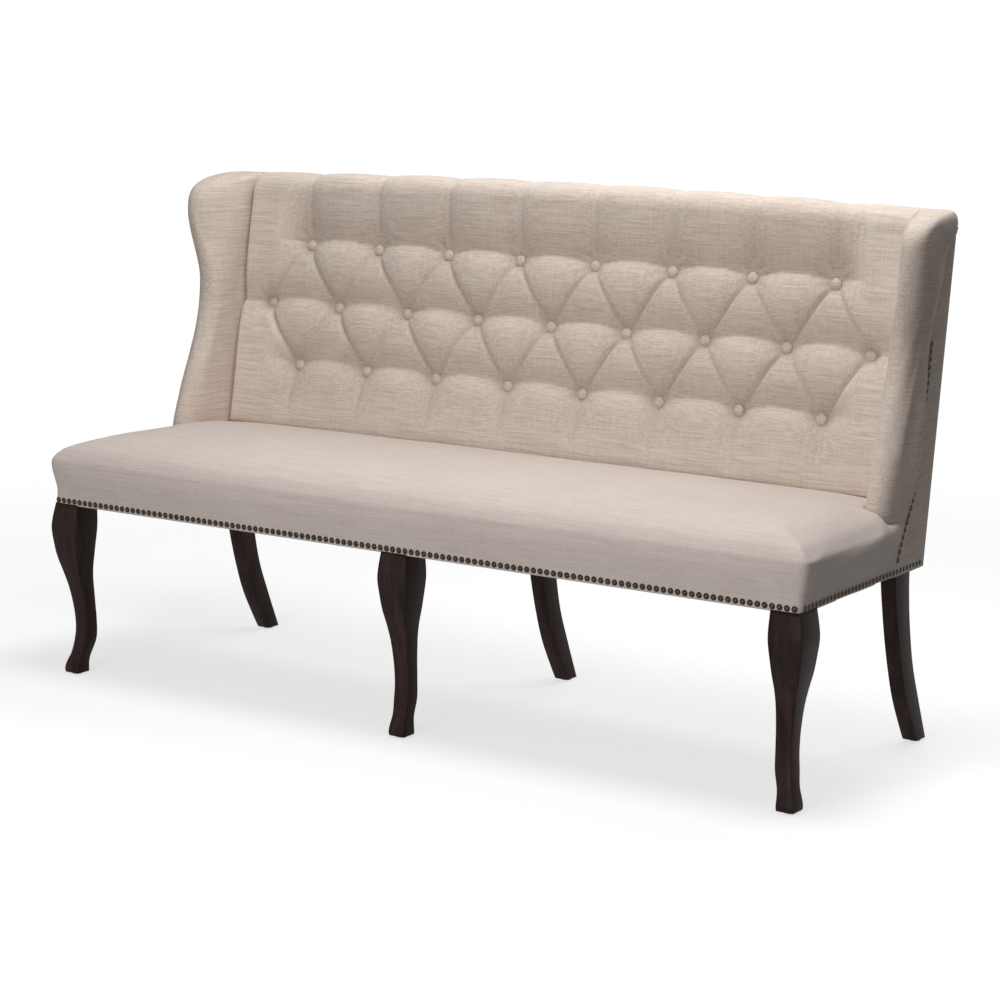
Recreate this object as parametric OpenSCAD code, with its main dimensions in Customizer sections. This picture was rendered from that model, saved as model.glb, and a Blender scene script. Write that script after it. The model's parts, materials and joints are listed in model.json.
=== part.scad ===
// Upholstered dining bench with a button-tufted back, padded wings, a nail-trimmed
// seat, three cabriole front legs and three sabre rear legs.
// Millimetres, +Z up, front towards -Y. The origin lies on the floor under the middle.

/* [Overall] */
// Width over the cover at the front
bench_w = 1680; // [1400:10:1900]
// How far each side draws in from the front to the outside back
side_draw = 25; // [0:1:35]
// Depth from the front of the seat to the outside back, at the frame's underside
rail_d = 494; // [450:1:540]
// Height of the frame's underside over the floor
leg_h = 348; // [300:1:400]
// Height of the seat at its edge
seat_h = 474; // [450:1:490]
// How much higher the middle of the seat is than its edge
seat_crown = 8; // [4:1:12]
// Height of the middle of the back
back_h = 990; // [950:1:1050]
// How much lower the back is at its ends
back_arch = 13; // [6:1:20]
// How far the back leans for each millimetre of height
back_lean = 0.165; // [0.12:0.005:0.2]

/* [Frame] */
// Thickness of the front, side and rear rails
rail_t = 25; // [20:1:30]
// Height of the front, side and rear rails
rail_h = 76; // [70:1:80]
// Width of the cross rail that carries the middle front leg
mid_rail_w = 50; // [45:1:70]
// Thickness of the two outer cross rails
cross_t = 25; // [18:1:35]
// Height of the cross rails
cross_h = 46; // [40:1:60]
// Thickness of the back frame's members
back_t = 28; // [24:1:32]
// Width of the back's end posts
post_w = 60; // [56:1:70]
// Width of the back's two studs
stud_w = 45; // [35:1:60]
// Height of the back's top rail
top_rail_h = 52; // [40:1:60]
// Height of the back's lower rail
low_rail_h = 45; // [35:1:50]
// Thickness of the wing boards
wing_t = 20; // [15:1:22]

/* [Front legs] */
// Width and depth of a front leg at its top
leg_top = 58; // [54:1:64]
// Width of a front leg at its ankle
leg_ankle = 31; // [28:1:36]
// Width of a front foot
leg_foot = 34; // [30:1:38]
// How far the knee stands out past the top of the leg
knee_out = 7; // [4:1:9]
// How far the ankle is drawn in from the top of the leg
ankle_in = 24; // [18:1:26]
// How far the toe is drawn in from the top of the leg
toe_in = 9; // [6:1:14]
// Distance from the cover's face to a front leg
leg_inset = 2; // [1:0.5:3]

/* [Rear legs] */
// Thickness of a rear leg
sabre_t = 30; // [26:1:36]
// Depth of a rear leg at its top
sabre_top = 58; // [50:1:62]
// Depth of a rear foot
sabre_foot = 34; // [28:1:40]
// How far a rear foot stands behind the outside back at the frame
sabre_sweep = 96; // [80:1:110]
// Distance from the side of the seat to a rear leg
sabre_inset = 30; // [20:1:33]

/* [Seat] */
// Thickness of the cover over the wood
cover_t = 4; // [3:0.5:5]
// Thickness of the foam block in the seat
foam_t = 30; // [26:1:31]
// How far the sides of the seat swell past the rails
seat_swell = 8; // [4:1:9]
// Radius of the seat's front corners in plan
corner_r = 30; // [20:1:40]
// Number of sinuous springs
spring_count = 9; // [7:1:11]
// Diameter of the spring wire
wire_d = 3.8; // [3:0.2:4]
// Width of a spring over its loops
spring_w = 48; // [40:1:60]

/* [Back] */
// Number of buttons in the middle row: the rows above and below have one less
button_count = 9; // [7:2:9]
// Distance between the buttons in a row
button_pitch = 173; // [165:1:175]
// Distance between the rows of buttons
row_gap = 121; // [110:1:125]
// Height of the middle row of buttons
row_z = 712; // [700:1:720]
// Diameter of a button
button_d = 22; // [20:1:26]
// How far a button's back stands in front of the deepest point of its tuft
button_lift = 7.4; // [7:0.2:9]
// How deep a button is pulled into the padding
tuft_depth = 27; // [18:1:30]
// Thickness of the padding under a button
pinch_t = 12; // [11:1:14]
// Thickness of the outside back
skin_t = 5; // [4:0.5:6]

/* [Wings] */
// Thickness of a padded wing
wing_w = 46; // [44:1:52]
// How far the top of a wing flares outwards
wing_flare = 16; // [8:1:18]
// Thickness of the padding in front of the wing board
wing_pad = 20; // [16:1:24]
// Height of the top of a wing
wing_h = 976; // [950:1:985]

/* [Nails] */
// Distance between nail heads
nail_pitch = 14; // [13:0.5:16]
// Diameter of a nail head
nail_d = 11.4; // [9:0.2:12]
// How far a nail head stands out
nail_rise = 2.6; // [2:0.1:4]
// Height of the nail line over the frame's underside
nail_z = 10; // [8:0.5:12]

/* [Hidden] */
$fn = 32;

wood = "burlywood";
linen = "#cdc2b4";
dark_wood = "#2b1d1a";
steel = "#8a8a88";
bronze = "#3a2c22";

// Clearance between a soft piece and what it lies against
soft_gap = 0.3;
// Slope of the sides in plan, and their angle
taper = side_draw / rail_d;
taper_a = atan(taper);
// Half width over the cover at a distance behind the front
function side_x(y) = bench_w / 2 - taper * y;
// Depth of the outside back's face at a height
function back_y(z) = rail_d + back_lean * (z - leg_h);
rail_top = leg_h + rail_h;
// Reach of blocks that cut away all on one side, and the ends of cuts in plan
far = 1200;
plan_front = -100;
plan_rear = 800;
// Depths into the back from its outside face
frame_out = skin_t;
frame_in = skin_t + back_t;
pad_in = frame_in + 2;
button_in = pad_in + pinch_t;
// The top rail ends this far under the top of the back, and the wing board under the wing
top_pad = back_arch + 33;
post_top = wing_h - 26;
top_rail_z = back_h - top_pad - top_rail_h;
low_rail_z = rail_top + 26;
// Outside edges of the bounding box, front and back, which the origin lies between
front_edge = min(-seat_swell, leg_inset - knee_out);
heel_y = rail_d + sabre_sweep;
rear_edge = max(heel_y, back_y(back_h) - 3, back_y(wing_h) - 1);
origin_y = (front_edge + rear_edge) / 2;

// Glides under the feet
glide_h = 3;
glide_d = 20;
// Bolts that hold the legs
bolt_d = 8;
bolt_play = 0.1;
bolt_in_leg = 42;
bolt_in_frame = 34;
bolt_in = 42;
sabre_seat = 50;
sabre_y = rail_d - sabre_seat;
sabre_bolt_y = rail_d - (frame_out + frame_in) / 2;

// Springs and what lies on them
clip_floor = 1;
clip_h = wire_d + 2 * clip_floor;
spring_z = rail_top + clip_floor + 0.1;
deck_z = rail_top + clip_h + 0.2;
deck_t = 1.2;
foam_z = deck_z + deck_t + soft_gap;
foam_top = foam_z + foam_t;

// The nail line on the side, from the rail up: depth in front of the foot of the outside
// back, and height over the frame's underside
nail_points = [[130, 0], [122, 30], [102, 70], [74, 114], [51, 162], [37, 222], [26, 290],
    [14, 355], [5, 405], [-15, 460], [-38, 515], [-58, 560], [-66, 578]];
nail_line = [for (p = nail_points) [rail_d - p[0], leg_h + p[1]]];
panel_top = last(nail_line)[1];
// How far up the nails go, as a number of stretches of the line
nail_line_top = 8;

// Front edge of a padded wing: height, and depth in front of the foot of the outside back
wing_foot = rail_top + 6;
wing_points = [[wing_foot, 172], [rail_top + 58, 162], [rail_top + 116, 148],
    [rail_top + 176, 128], [rail_top + 236, 108], [rail_top + 296, 94], [rail_top + 346, 91],
    [rail_top + 406, 97], [rail_top + 456, 103], [wing_h - 58, 103], [wing_h - 34, 93],
    [wing_h - 17, 70], [wing_h - 6, 36], [wing_h, -12]];
wing_front = [for (p = wing_points) [p[0], rail_d - p[1]]];

function last(list) = list[len(list) - 1];
// Smooth value through a list of [key, value] pairs, by a cubic between neighbours
function seg(t, k, i = 0) = i >= len(k) - 2 || t < k[i + 1][0] ? i : seg(t, k, i + 1);
function slope(k, i) =
    let (a = max(i - 1, 0), b = min(i + 1, len(k) - 1))
    (k[b][1] - k[a][1]) / (k[b][0] - k[a][0]);
function smooth(t, k) =
    let (i = seg(t, k), h = k[i + 1][0] - k[i][0], u = min(max((t - k[i][0]) / h, 0), 1))
    let (u2 = u * u, u3 = u2 * u)
    (2 * u3 - 3 * u2 + 1) * k[i][1] + (u3 - 2 * u2 + u) * h * slope(k, i)
    + (3 * u2 - 2 * u3) * k[i + 1][1] + (u3 - u2) * h * slope(k, i + 1);
function ease(a, b, t) =
    let (u = min(max((t - a) / (b - a), 0), 1))
    u * u * (3 - 2 * u);

// Moves the drawing frame, whose depth starts at the seat's front, to the origin
module placed() {
    translate([0, -origin_y, 0])
        children();
}

// Local frame of one side: x is 0 on the cover's face and y runs along the side
module on_side(side) {
    mirror([side < 0 ? 1 : 0, 0, 0])
        translate([bench_w / 2, 0, 0])
            rotate([0, 0, taper_a])
                children();
}

// All that lies further than inset inside both sides, between two heights
module inside(inset, z0, z1, y0 = plan_front, y1 = plan_rear) {
    e = inset / cos(taper_a);
    translate([0, 0, z0])
        linear_extrude(z1 - z0)
            polygon([[-side_x(y0) + e, y0], [side_x(y0) - e, y0],
                [side_x(y1) - e, y1], [-side_x(y1) + e, y1]]);
}

// A strip along one side or both, from one inset to another
module strip(inset0, inset1, z0, z1, y0 = plan_front, y1 = plan_rear) {
    difference() {
        inside(inset0, z0, z1, y0, y1);
        inside(inset1, z0 - 1, z1 + 1, y0 - 1, y1 + 1);
    }
}

// One half of the space, at the left or the right
module half(side) {
    translate([side < 0 ? -far : 0, -far / 4, 0])
        cube(far);
}

// A prism along X with its outline given as depth and height
module across(x0, x1, outline) {
    translate([x0, 0, 0])
        rotate([90, 0, 90])
            linear_extrude(x1 - x0)
                polygon(outline);
}

// A slab that leans with the back, between two depths into it and two heights
module leaning(in0, in1, z0, z1, x0 = -far, x1 = far) {
    across(x0, x1, [[back_y(z0) - in1, z0], [back_y(z0) - in0, z0],
        [back_y(z1) - in0, z1], [back_y(z1) - in1, z1]]);
}

// Vertical bore or bolt shank
module upright(x, y, z0, z1, d) {
    translate([x, y, z0])
        cylinder(h = z1 - z0, d = d);
}

// A closed body skinned over rings of points that all have the same count. Its end faces
// fan out from the ring's point number apex, which sees all the others.
module skin(rings, apex = 0) {
    n = len(rings[0]);
    m = len(rings);
    points = [for (r = rings) each r];
    walls = [for (j = [0:m - 2], i = [0:n - 1])
        let (a = j * n + i, b = j * n + (i + 1) % n, c = a + n, d = b + n)
        each [[a, c, b], [b, c, d]]];
    bottom = [for (i = [1:n - 2]) [apex, (apex + i) % n, (apex + i + 1) % n]];
    top = [for (t = bottom) [t[0], t[2], t[1]] + (m - 1) * n * [1, 1, 1]];
    polyhedron(points = points, faces = concat(bottom, walls, top));
}

// What is planed off a front corner of the frame, so that the cover turns it softly
module corner_waste(side) {
    r = corner_r - cover_t;
    translate([side * (side_x(cover_t) - corner_r), corner_r, leg_h - 1])
        difference() {
            translate([side < 0 ? -2 * r : 0, -2 * r, 0])
                cube([2 * r, 2 * r, rail_h + 2]);
            translate([0, 0, -1])
                cylinder(h = rail_h + 4, r = r);
        }
}

// Rails of the seat frame
module front_rail() {
    color(wood)
        placed()
            difference() {
                intersection() {
                    inside(cover_t, leg_h, rail_top);
                    translate([-far, cover_t, leg_h])
                        cube([2 * far, rail_t, rail_h]);
                }
                for (s = [-1, 1])
                    corner_waste(s);
            }
}

module side_rail(side) {
    color(wood)
        placed()
            difference() {
                intersection() {
                    strip(cover_t, cover_t + rail_t, leg_h, rail_top);
                    half(side);
                    translate([-far, cover_t + rail_t, leg_h])
                        cube([2 * far, rail_d, rail_h]);
                }
                leaning(-50, frame_in, leg_h - 1, rail_top + 1);
            }
}

module left_side_rail() {
    side_rail(-1);
}

module right_side_rail() {
    side_rail(1);
}

module rear_rail() {
    color(wood)
        placed()
            difference() {
                intersection() {
                    leaning(frame_out, frame_in, leg_h, rail_top);
                    inside(cover_t + post_w, leg_h, rail_top);
                }
                upright(0, sabre_bolt_y, leg_h - 1, leg_h + bolt_in_frame, bolt_d + 2 * bolt_play);
            }
}

// The middle cross rail carries the middle front leg; two more tie the long rails
module cross_rails() {
    color(wood)
        placed()
            difference() {
                for (x = [-bench_w / 4, 0, bench_w / 4]) {
                    t = x == 0 ? mid_rail_w : cross_t;
                    translate([x - t / 2, cover_t + rail_t, leg_h])
                        cube([t, rail_d, cross_h]);
                }
                leaning(-200, frame_in, leg_h - 1, rail_top);
                upright(0, leg_inset + bolt_in, leg_h - 1, leg_h + cross_h + 1,
                    bolt_d + 2 * bolt_play);
            }
}

// Blocks in the corners: the front pair carry the front legs' bolts
module corner_blocks() {
    block = 72;
    toe = 30;
    heel = 12;
    past_face = 40;
    color(wood)
        placed()
            difference() {
                union() {
                    intersection() {
                        inside(cover_t + rail_t, leg_h, leg_h + cross_h);
                        for (s = [-1, 1])
                            translate([s * (side_x(0) - cover_t - rail_t), cover_t + rail_t, 0])
                                linear_extrude(leg_h + cross_h)
                                    polygon([[5 * s, 0], [5 * s, block], [-toe * s, block],
                                        [-block * s, toe], [-block * s, 0]]);
                    }
                    difference() {
                        intersection() {
                            inside(cover_t + rail_t, leg_h, leg_h + cross_h);
                            for (s = [-1, 1])
                                translate([s * side_x(rail_d), rail_d - frame_in - block, 0])
                                    linear_extrude(leg_h + cross_h)
                                        polygon([[0, 0], [-(cover_t + rail_t + heel) * s, 0],
                                            [-(cover_t + rail_t + block) * s, block],
                                            [-(cover_t + rail_t + block) * s, block + past_face],
                                            [0, block + past_face]]);
                        }
                        leaning(-200, frame_in, leg_h - 1, rail_top);
                    }
                }
                for (s = [-1, 1])
                    upright(s * (bench_w / 2 - leg_inset - bolt_in), leg_inset + bolt_in,
                        leg_h - 1, rail_top, bolt_d + 2 * bolt_play);
            }
}

// End posts of the back, rebated over the seat for the wing boards
module back_post(side) {
    color(wood)
        placed()
            difference() {
                intersection() {
                    leaning(frame_out, frame_in, leg_h, post_top);
                    strip(cover_t, cover_t + post_w, leg_h, post_top);
                    half(side);
                }
                strip(cover_t - 1, cover_t + wing_t, rail_top, post_top + 1);
                upright(side * (side_x(rail_d) - sabre_inset - sabre_t / 2), sabre_bolt_y,
                    leg_h - 1, leg_h + bolt_in_frame, bolt_d + 2 * bolt_play);
            }
}

module left_back_post() {
    back_post(-1);
}

module right_back_post() {
    back_post(1);
}

module back_rail(z, h) {
    color(wood)
        placed()
            intersection() {
                leaning(frame_out, frame_in, z, z + h);
                inside(cover_t + post_w, z, z + h);
            }
}

module back_top_rail() {
    back_rail(top_rail_z, top_rail_h);
}

module back_lower_rail() {
    back_rail(low_rail_z, low_rail_h);
}

module back_studs() {
    color(wood)
        placed()
            for (x = [-1.5 * button_pitch, 1.5 * button_pitch])
                leaning(frame_out, frame_in, low_rail_z + low_rail_h, top_rail_z,
                    x - stud_w / 2, x + stud_w / 2);
}

// Wing boards, sawn to the curve of the wing less its padding
function board_edge(back) = [for (z = [rail_top : 24 : post_top - 44])
    [smooth(z, wing_front) + wing_pad - back, z]];

module wing_board_shape(x0, x1, grow) {
    corner = 36;
    z1 = post_top - corner;
    y1 = smooth(z1, wing_front) + wing_pad + corner;
    rear = frame_out + 2 - grow;
    across(x0, x1, concat(board_edge(grow),
        [for (a = [180:-15:90]) [y1, z1] + (corner + grow) * [cos(a), sin(a)]],
        [[back_y(post_top) - rear, post_top + grow], [back_y(rail_top) - rear, rail_top]]));
}

module wing_board(side) {
    color(wood)
        placed()
            on_side(side)
                wing_board_shape(-cover_t - wing_t, -cover_t, 0);
}

module left_wing_board() {
    wing_board(-1);
}

module right_wing_board() {
    wing_board(1);
}

// Sinuous springs run from the front rail to the rear rail in bent steel clips
spring_bend = 10;
spring_y0 = cover_t + rail_t / 2;
spring_y1 = back_y(rail_top) - frame_in + 10;
bend_count = floor((spring_y1 - spring_y0) / (2 * spring_bend));
spring_step = (spring_y1 - spring_y0) / bend_count;
// The springs share the width that is left between two margins
spring_margin = 80;
function spring_x(i) =
    (i - (spring_count - 1) / 2) * 2 * (side_x(rail_d) - spring_margin) / spring_count;

// The wire's edge round one bend: bends lie to the right and the left in turn
bend_reach = spring_w / 2 - spring_step / 2 - wire_d / 2;
function bend_edge(k, off) =
    let (s = k % 2 == 0 ? 1 : -1, r = spring_step / 2 - s * off)
    [for (a = [-90:30:90])
        [s * (bend_reach + r * cos(a)), (k + 0.5) * spring_step + r * sin(a)]];
function wire_edge(off) =
    let (ends = bend_count % 2 == 0 ? 1 : -1)
    concat([[-bend_reach, off]], [for (k = [0:bend_count - 1]) each bend_edge(k, off)],
        [[ends * bend_reach, bend_count * spring_step + ends * off]]);
function reversed(list) = [for (i = [len(list) - 1:-1:0]) list[i]];

module spring_outline() {
    polygon(concat(wire_edge(wire_d / 2), reversed(wire_edge(-wire_d / 2))));
}

module seat_springs() {
    color(steel)
        placed()
            for (i = [0:spring_count - 1])
                translate([spring_x(i), spring_y0, spring_z])
                    linear_extrude(wire_d)
                        spring_outline();
}

module spring_clips() {
    w = 14;
    wrap = wire_d + 0.4;
    color(steel)
        placed()
            for (i = [0:spring_count - 1], y = [spring_y0, spring_y1])
                translate([spring_x(i) - w / 2, y - 7, rail_top])
                    difference() {
                        cube([w, 14, clip_h]);
                        translate([-1, 7 - wrap / 2, clip_floor])
                            cube([w + 2, wrap, wire_d + 0.2]);
                        translate([-1, y == spring_y0 ? 7 : -1, clip_floor])
                            cube([w + 2, 8, wire_d + 0.2]);
                    }
}

// Plan of the foam: full width before the wings and between them behind
foam_back = back_y(foam_z) - button_in - 14;
wing_clear = wing_w + 4;
module foam_plan(grow, z0, z1) {
    difference() {
        inside(cover_t + 5 - grow, z0, z1, cover_t + 5 - grow, foam_back + grow);
        strip(-20, wing_clear - grow, z0 - 1, z1 + 1, wing_front[0][1] - 10 - grow);
    }
}

module deck_cloth() {
    color("dimgray")
        placed()
            foam_plan(0, deck_z, deck_z + deck_t);
}

module seat_foam() {
    color("khaki")
        placed()
            foam_plan(0, foam_z, foam_top);
}

// Seat cover: rings of the rounded plan, swelling over the rails and drawn in at the top
side_steps = 9;
corner_steps = 4;
function corner_arc(cx, cy, r, a0) = [for (k = [0:corner_steps])
    let (a = a0 + k * 90 / corner_steps)
    [cx + r * cos(a), cy + r * sin(a)]];
function between(p, q, n) = n < 2 ? [] : [for (k = [1:n - 1]) p + (q - p) * k / n];
seat_back = back_y(seat_h) - button_in - soft_gap;
function seat_ring(e, z) =
    let (r = max(corner_r - e, 3), in = e + r, rr = max(12 - e, 3), rin = e + rr)
    let (yf = in, yb = seat_back + 30 - min(e, 60) * 0.5)
    let (a = corner_arc(side_x(yf) - in, yf, r, -90))
    let (b = corner_arc(side_x(yb - rr) - rin, yb - rr, rr, 0))
    let (c = corner_arc(-side_x(yb - rr) + rin, yb - rr, rr, 90))
    let (d = corner_arc(-side_x(yf) + in, yf, r, 180))
    let (xy = concat(a, between(last(a), b[0], 4), b, between(last(b), c[0], side_steps), c,
        between(last(c), d[0], 4), d, between(last(d), a[0], side_steps)))
    [for (p = xy) [p[0], p[1], z + seat_puff(p, e)]];
// The crown rises towards the middle of the seat
function seat_puff(p, e) = e <= 36 ? 0 :
    seat_crown * (1 - pow(1 - min((e - 36) / 190, 1), 2)) * (0.75 + 0.25 * cos(90 * p[0] / side_x(0)));
// Rings as inset and height: up the sides to the widest place, and from there over the top
seat_sides = [for (p = [[0, 0], [0, 22], [0.2, 34], [0.45, 46], [0.7, 58], [0.9, 70],
    [0.98, 77], [1, 84]]) [-seat_swell * p[0], leg_h + p[1]]];
seat_top = [last(seat_sides), [-seat_swell * 0.6, leg_h + 97], [seat_swell * 0.3, seat_h - 18],
    [seat_swell + 4, seat_h - 8], [24, seat_h - 2.5], [38, seat_h], [70, seat_h],
    [120, seat_h], [180, seat_h], [222, seat_h]];
slice_t = 0.6;

// Each stretch between two rings reaches a slice into the next
module seat_form() {
    for (i = [1:len(seat_sides) - 1])
        hull()
            skin([seat_ring(seat_sides[i - 1][0], seat_sides[i - 1][1]),
                seat_ring(seat_sides[i][0], seat_sides[i][1]),
                seat_ring(seat_sides[i][0], seat_sides[i][1] + slice_t)]);
    hull()
        skin([for (r = seat_top) seat_ring(r[0], r[1])]);
}

// Notches for the wings and the side panels, over a height
module side_notch(z1) {
    across(-wing_w - soft_gap, far, concat(
        [for (z = [wing_foot - soft_gap, seat_h - 4, z1])
            [smooth(z, wing_front) - soft_gap, z]],
        [[far, z1], [far, wing_foot - soft_gap]]));
    across(-cover_t - 2, far, concat(
        [for (p = nail_line) if (p[1] < z1) [p[0] - soft_gap, p[1] - 1]],
        [[far, z1], [far, leg_h - 1]]));
}

module seat_cover() {
    z1 = seat_h + 46;
    color(linen)
        placed()
            difference() {
                seat_form();
                inside(cover_t, leg_h - 1, foam_z, cover_t);
                foam_plan(soft_gap, foam_z - 1, foam_top + soft_gap);
                across(-far, far, [[seat_back - back_lean * (seat_h - leg_h), leg_h - 1],
                    [far, leg_h - 1], [far, z1], [seat_back + back_lean * (z1 - seat_h), z1]]);
                for (s = [-1, 1])
                    on_side(s)
                        side_notch(z1);
            }
}

// Back padding: a skin over columns, each a path up the front and over the top
col_edge = side_x(back_y(leg_h + 252)) - wing_w - 1;
half_cols = (button_count - 1) / 2;
cols = concat([-1], [for (k = [-4 * half_cols - 1:4 * half_cols + 1])
    k / 4 * button_pitch / col_edge], [1]);
rows = [-2.25, -1.95, -1.75, -1.5, -1.25, -1, -0.75, -0.5, -0.25, 0, 0.25, 0.5, 0.75, 1, 1.25,
    1.5, 1.7];
// Fold strength: 0 on a crease and 1 between creases
function fold(t) = pow(abs(sin(180 * t)), 0.7);
// Depth of the padding's face in front of the button plane, from the tufting pattern
function tuft(x, v) =
    let (u = x / button_pitch, s = u + v / 2, t = u - v / 2)
    let (inner = fold(s) * fold(t), channel = fold(u + 0.5))
    let (up = ease(1, 1.25, v), down = ease(-1, -1.25, v))
    let (low = 1 - (1 - channel) * 0.75 * ease(-2.2, -1.2, v))
    let (ends = ease(half_cols, half_cols + 0.2, abs(u)))
    let (diamond = inner * (1 - ends) + ends * (1 - 0.5 * exp(-pow(v * 4, 2))))
    let (face = up * (0.42 + 0.58 * channel) + down * low
        + (1 - up) * (1 - down) * (0.35 + 0.65 * diamond))
    let (du = u - round(u), dh = u + 0.5 - round(u + 0.5))
    let (pit = max(exp(-(du * du * 90 + v * v * 40)),
        exp(-(dh * dh * 90 + pow(abs(v) - 1, 2) * 40)) * (abs(u) < half_cols - 0.3 ? 1 : 0)))
    let (edge = ease(col_edge - 42, col_edge, abs(x)))
    (face * (1 - pit) * (1 - edge) + 0.4 * edge) * ease(-1.95, -1.55, v);

// The padding ends this far under the top, on the frame
cap_drop = 31;
function arch(x) = back_arch * pow(x / col_edge, 2);
function back_path(x) =
    let (drop = arch(x), top = back_h - drop)
    let (front = [for (v = rows)
        let (z = row_z + v * row_gap, lift = 1 - ease(1.2, 2.2, v) * 0.2)
        [back_y(z) - button_in - tuft_depth * tuft(x, v) * lift, z]])
    let (channel = 5 * (1 - fold(x / button_pitch + 0.5)))
    let (y0 = back_y(top) - button_in - tuft_depth * 0.62)
    concat(front, [[y0 + 4, top - 40 - channel * 0.3], [y0 + 11, top - 22 - channel * 0.6],
        [y0 + 24, top - 8 - channel], [y0 + 44, top - channel], [y0 + 60, top - 5 - channel],
        [back_y(top) - 3, top - 17], [back_y(top) - 3, top - cap_drop + 1],
        [back_y(top - cap_drop) - pad_in, top - cap_drop],
        [back_y(rows[0] * row_gap + row_z) - pad_in, rows[0] * row_gap + row_z]]);

module back_cushion() {
    e = wing_w + soft_gap;
    sections = [for (c = cols)
        [for (p = back_path(c * col_edge))
            [c * (side_x(p[0]) - e / cos(taper_a)), p[0], p[1]]]];
    color(linen)
        placed()
            skin([for (i = [len(sections) - 1:-1:0]) sections[i]], len(sections[0]) - 2);
}

// Covered buttons, pulled square to the lean of the back
module tuft_buttons() {
    r = button_d / 2;
    lean_a = atan(back_lean);
    color(linen)
        placed()
            for (row = [-1:1], i = [0:button_count - 1 - abs(row)])
                translate([(i - half_cols + abs(row) / 2) * button_pitch,
                    back_y(row_z + row * row_gap) - button_in - button_lift,
                    row_z + row * row_gap])
                    rotate([90 - lean_a, 0, 0])
                        rotate_extrude()
                            polygon([[0, 0], [r * 0.8, 0], [r, 1.6], [r, 3.2], [r * 0.85, 5.2],
                                [r * 0.6, 6.8], [r * 0.3, 7.7], [0, 8]]);
}

// Straps behind the back padding, from the lower rail to the top rail
module back_webbing() {
    strap = 50;
    color("tan")
        placed()
            for (i = [-3:3])
                leaning(frame_in + 0.1, frame_in + 1.6, low_rail_z, top_rail_z + top_rail_h - 6,
                    i * 1.15 * button_pitch - strap / 2, i * 1.15 * button_pitch + strap / 2);
}

// Fabric on board, from the frame's underside to the rolled top
skin_top = back_h - cap_drop - 2;
module outside_back() {
    color(linen)
        placed()
            intersection() {
                leaning(0, skin_t - soft_gap, leg_h, skin_top);
                inside(0, leg_h, skin_top);
                translate([0, far, 0])
                    upright_prism(concat([[-bench_w / 2, leg_h], [bench_w / 2, leg_h]],
                        [for (i = [10:-1:-10]) [i * col_edge / 9, skin_top - arch(i * col_edge / 9)]]),
                        far);
            }
}

// Padded wings: level sections with a rolled front, flaring outwards at the top
wing_levels = concat([wing_foot], [for (z = [rail_top + 36 : 30 : post_top - 60]) z],
    [post_top - 44, post_top - 26, post_top - 10, post_top + 0.4, post_top + 1.2],
    [for (d = [18, 10, 4, slice_t]) wing_h - d]);
function wing_section(z) =
    let (yf = smooth(z, wing_front), r = wing_w / 2, drop = wing_h - z)
    let (e = drop > 18 ? 0 : 14 * (1 - sqrt(1 - pow(1 - drop / 18, 2) * 0.98)))
    let (lean = wing_flare * ease(rail_top + 336, wing_h - 60, z))
    let (yb = back_y(z) - (z > post_top ? 1 : pad_in))
    let (bow = 3.5 + 2 * ease(rail_top + 276, wing_h - 76, z), ear = 5 * ease(wing_h - 60, wing_h - 30, z))
    let (ys = smooth(z, [for (p = nail_line) [p[1], p[0]]]))
    let (y1 = yf + r + 20, y3 = min(max(ys, yf + r + 44), yb - 14))
    let (roll = [for (a = [180:22.5:360])
        [-r + lean + (r - e) * cos(a), yf + r + (r - e) * sin(a)]])
    let (inner = [[-wing_w + e, yb], [-wing_w + e, min((yf + yb) / 2 + 30, yb - 12)],
        [-wing_w + e + lean * 0.5, yf + r + 26]])
    let (outer = [[bow - e + lean * 0.85, y1], [bow - e + lean * 0.35, (y1 + y3) / 2],
        [-e + ear + lean * 0.1, y3], [-e + ear, yb - 8], [-e + ear - 5, yb]])
    concat(inner, roll, outer);

module wing_slice(z) {
    translate([0, 0, z])
        linear_extrude(slice_t)
            polygon(wing_section(z));
}

module wing_form() {
    for (i = [1:len(wing_levels) - 1])
        hull() {
            wing_slice(wing_levels[i - 1]);
            wing_slice(wing_levels[i]);
        }
}

module wing_pad(side) {
    color(linen)
        placed()
            difference() {
                on_side(side)
                    wing_form();
                on_side(side) {
                    wing_board_shape(-cover_t - wing_t - soft_gap, -cover_t + 0.1, soft_gap);
                    across(-cover_t, far, concat(nail_line, [[far, panel_top], [far, leg_h]]));
                }
            }
}

module left_wing_pad() {
    wing_pad(-1);
}

module right_wing_pad() {
    wing_pad(1);
}

// Fabric on board behind the nail line, down to the frame's underside
module wing_panel(side) {
    color(linen)
        placed()
            difference() {
                on_side(side)
                    across(-cover_t + 0.2, 0, concat([for (p = nail_line)
                        [p[0] + soft_gap, min(p[1], panel_top - soft_gap)]],
                        [[back_y(post_top) - pad_in + 1, post_top - soft_gap],
                        [back_y(post_top), post_top - soft_gap], [back_y(leg_h) + 2, leg_h]]));
                leaning(-60, skin_t, leg_h - 1, back_h);
            }
}

module left_wing_panel() {
    wing_panel(-1);
}

module right_wing_panel() {
    wing_panel(1);
}

// Thin cloth under the frame, cut round the legs
module dust_cover() {
    t = 0.8;
    edge = 12;
    room = 4;
    color("#1c1c1c")
        placed()
            difference() {
                inside(cover_t + edge, leg_h - t, leg_h, cover_t + edge, rail_d - edge);
                for (s = [-1, 0, 1])
                    translate([s * (bench_w / 2 - leg_inset - leg_top / 2) - leg_top / 2 - room, 0,
                        leg_h - 2])
                        cube([leg_top + 2 * room, leg_inset + leg_top + room, 4]);
                for (s = [-1, 0, 1])
                    translate([s * sabre_x - sabre_t / 2 - room, sabre_y - room, leg_h - 2])
                        cube([sabre_t + 2 * room, sabre_top + 4 * room, 4]);
            }
}

// A nail head with its axis along Z
module nail_head() {
    cylinder(h = nail_rise, d1 = nail_d, d2 = nail_d * 0.45, $fn = 24);
}

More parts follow.
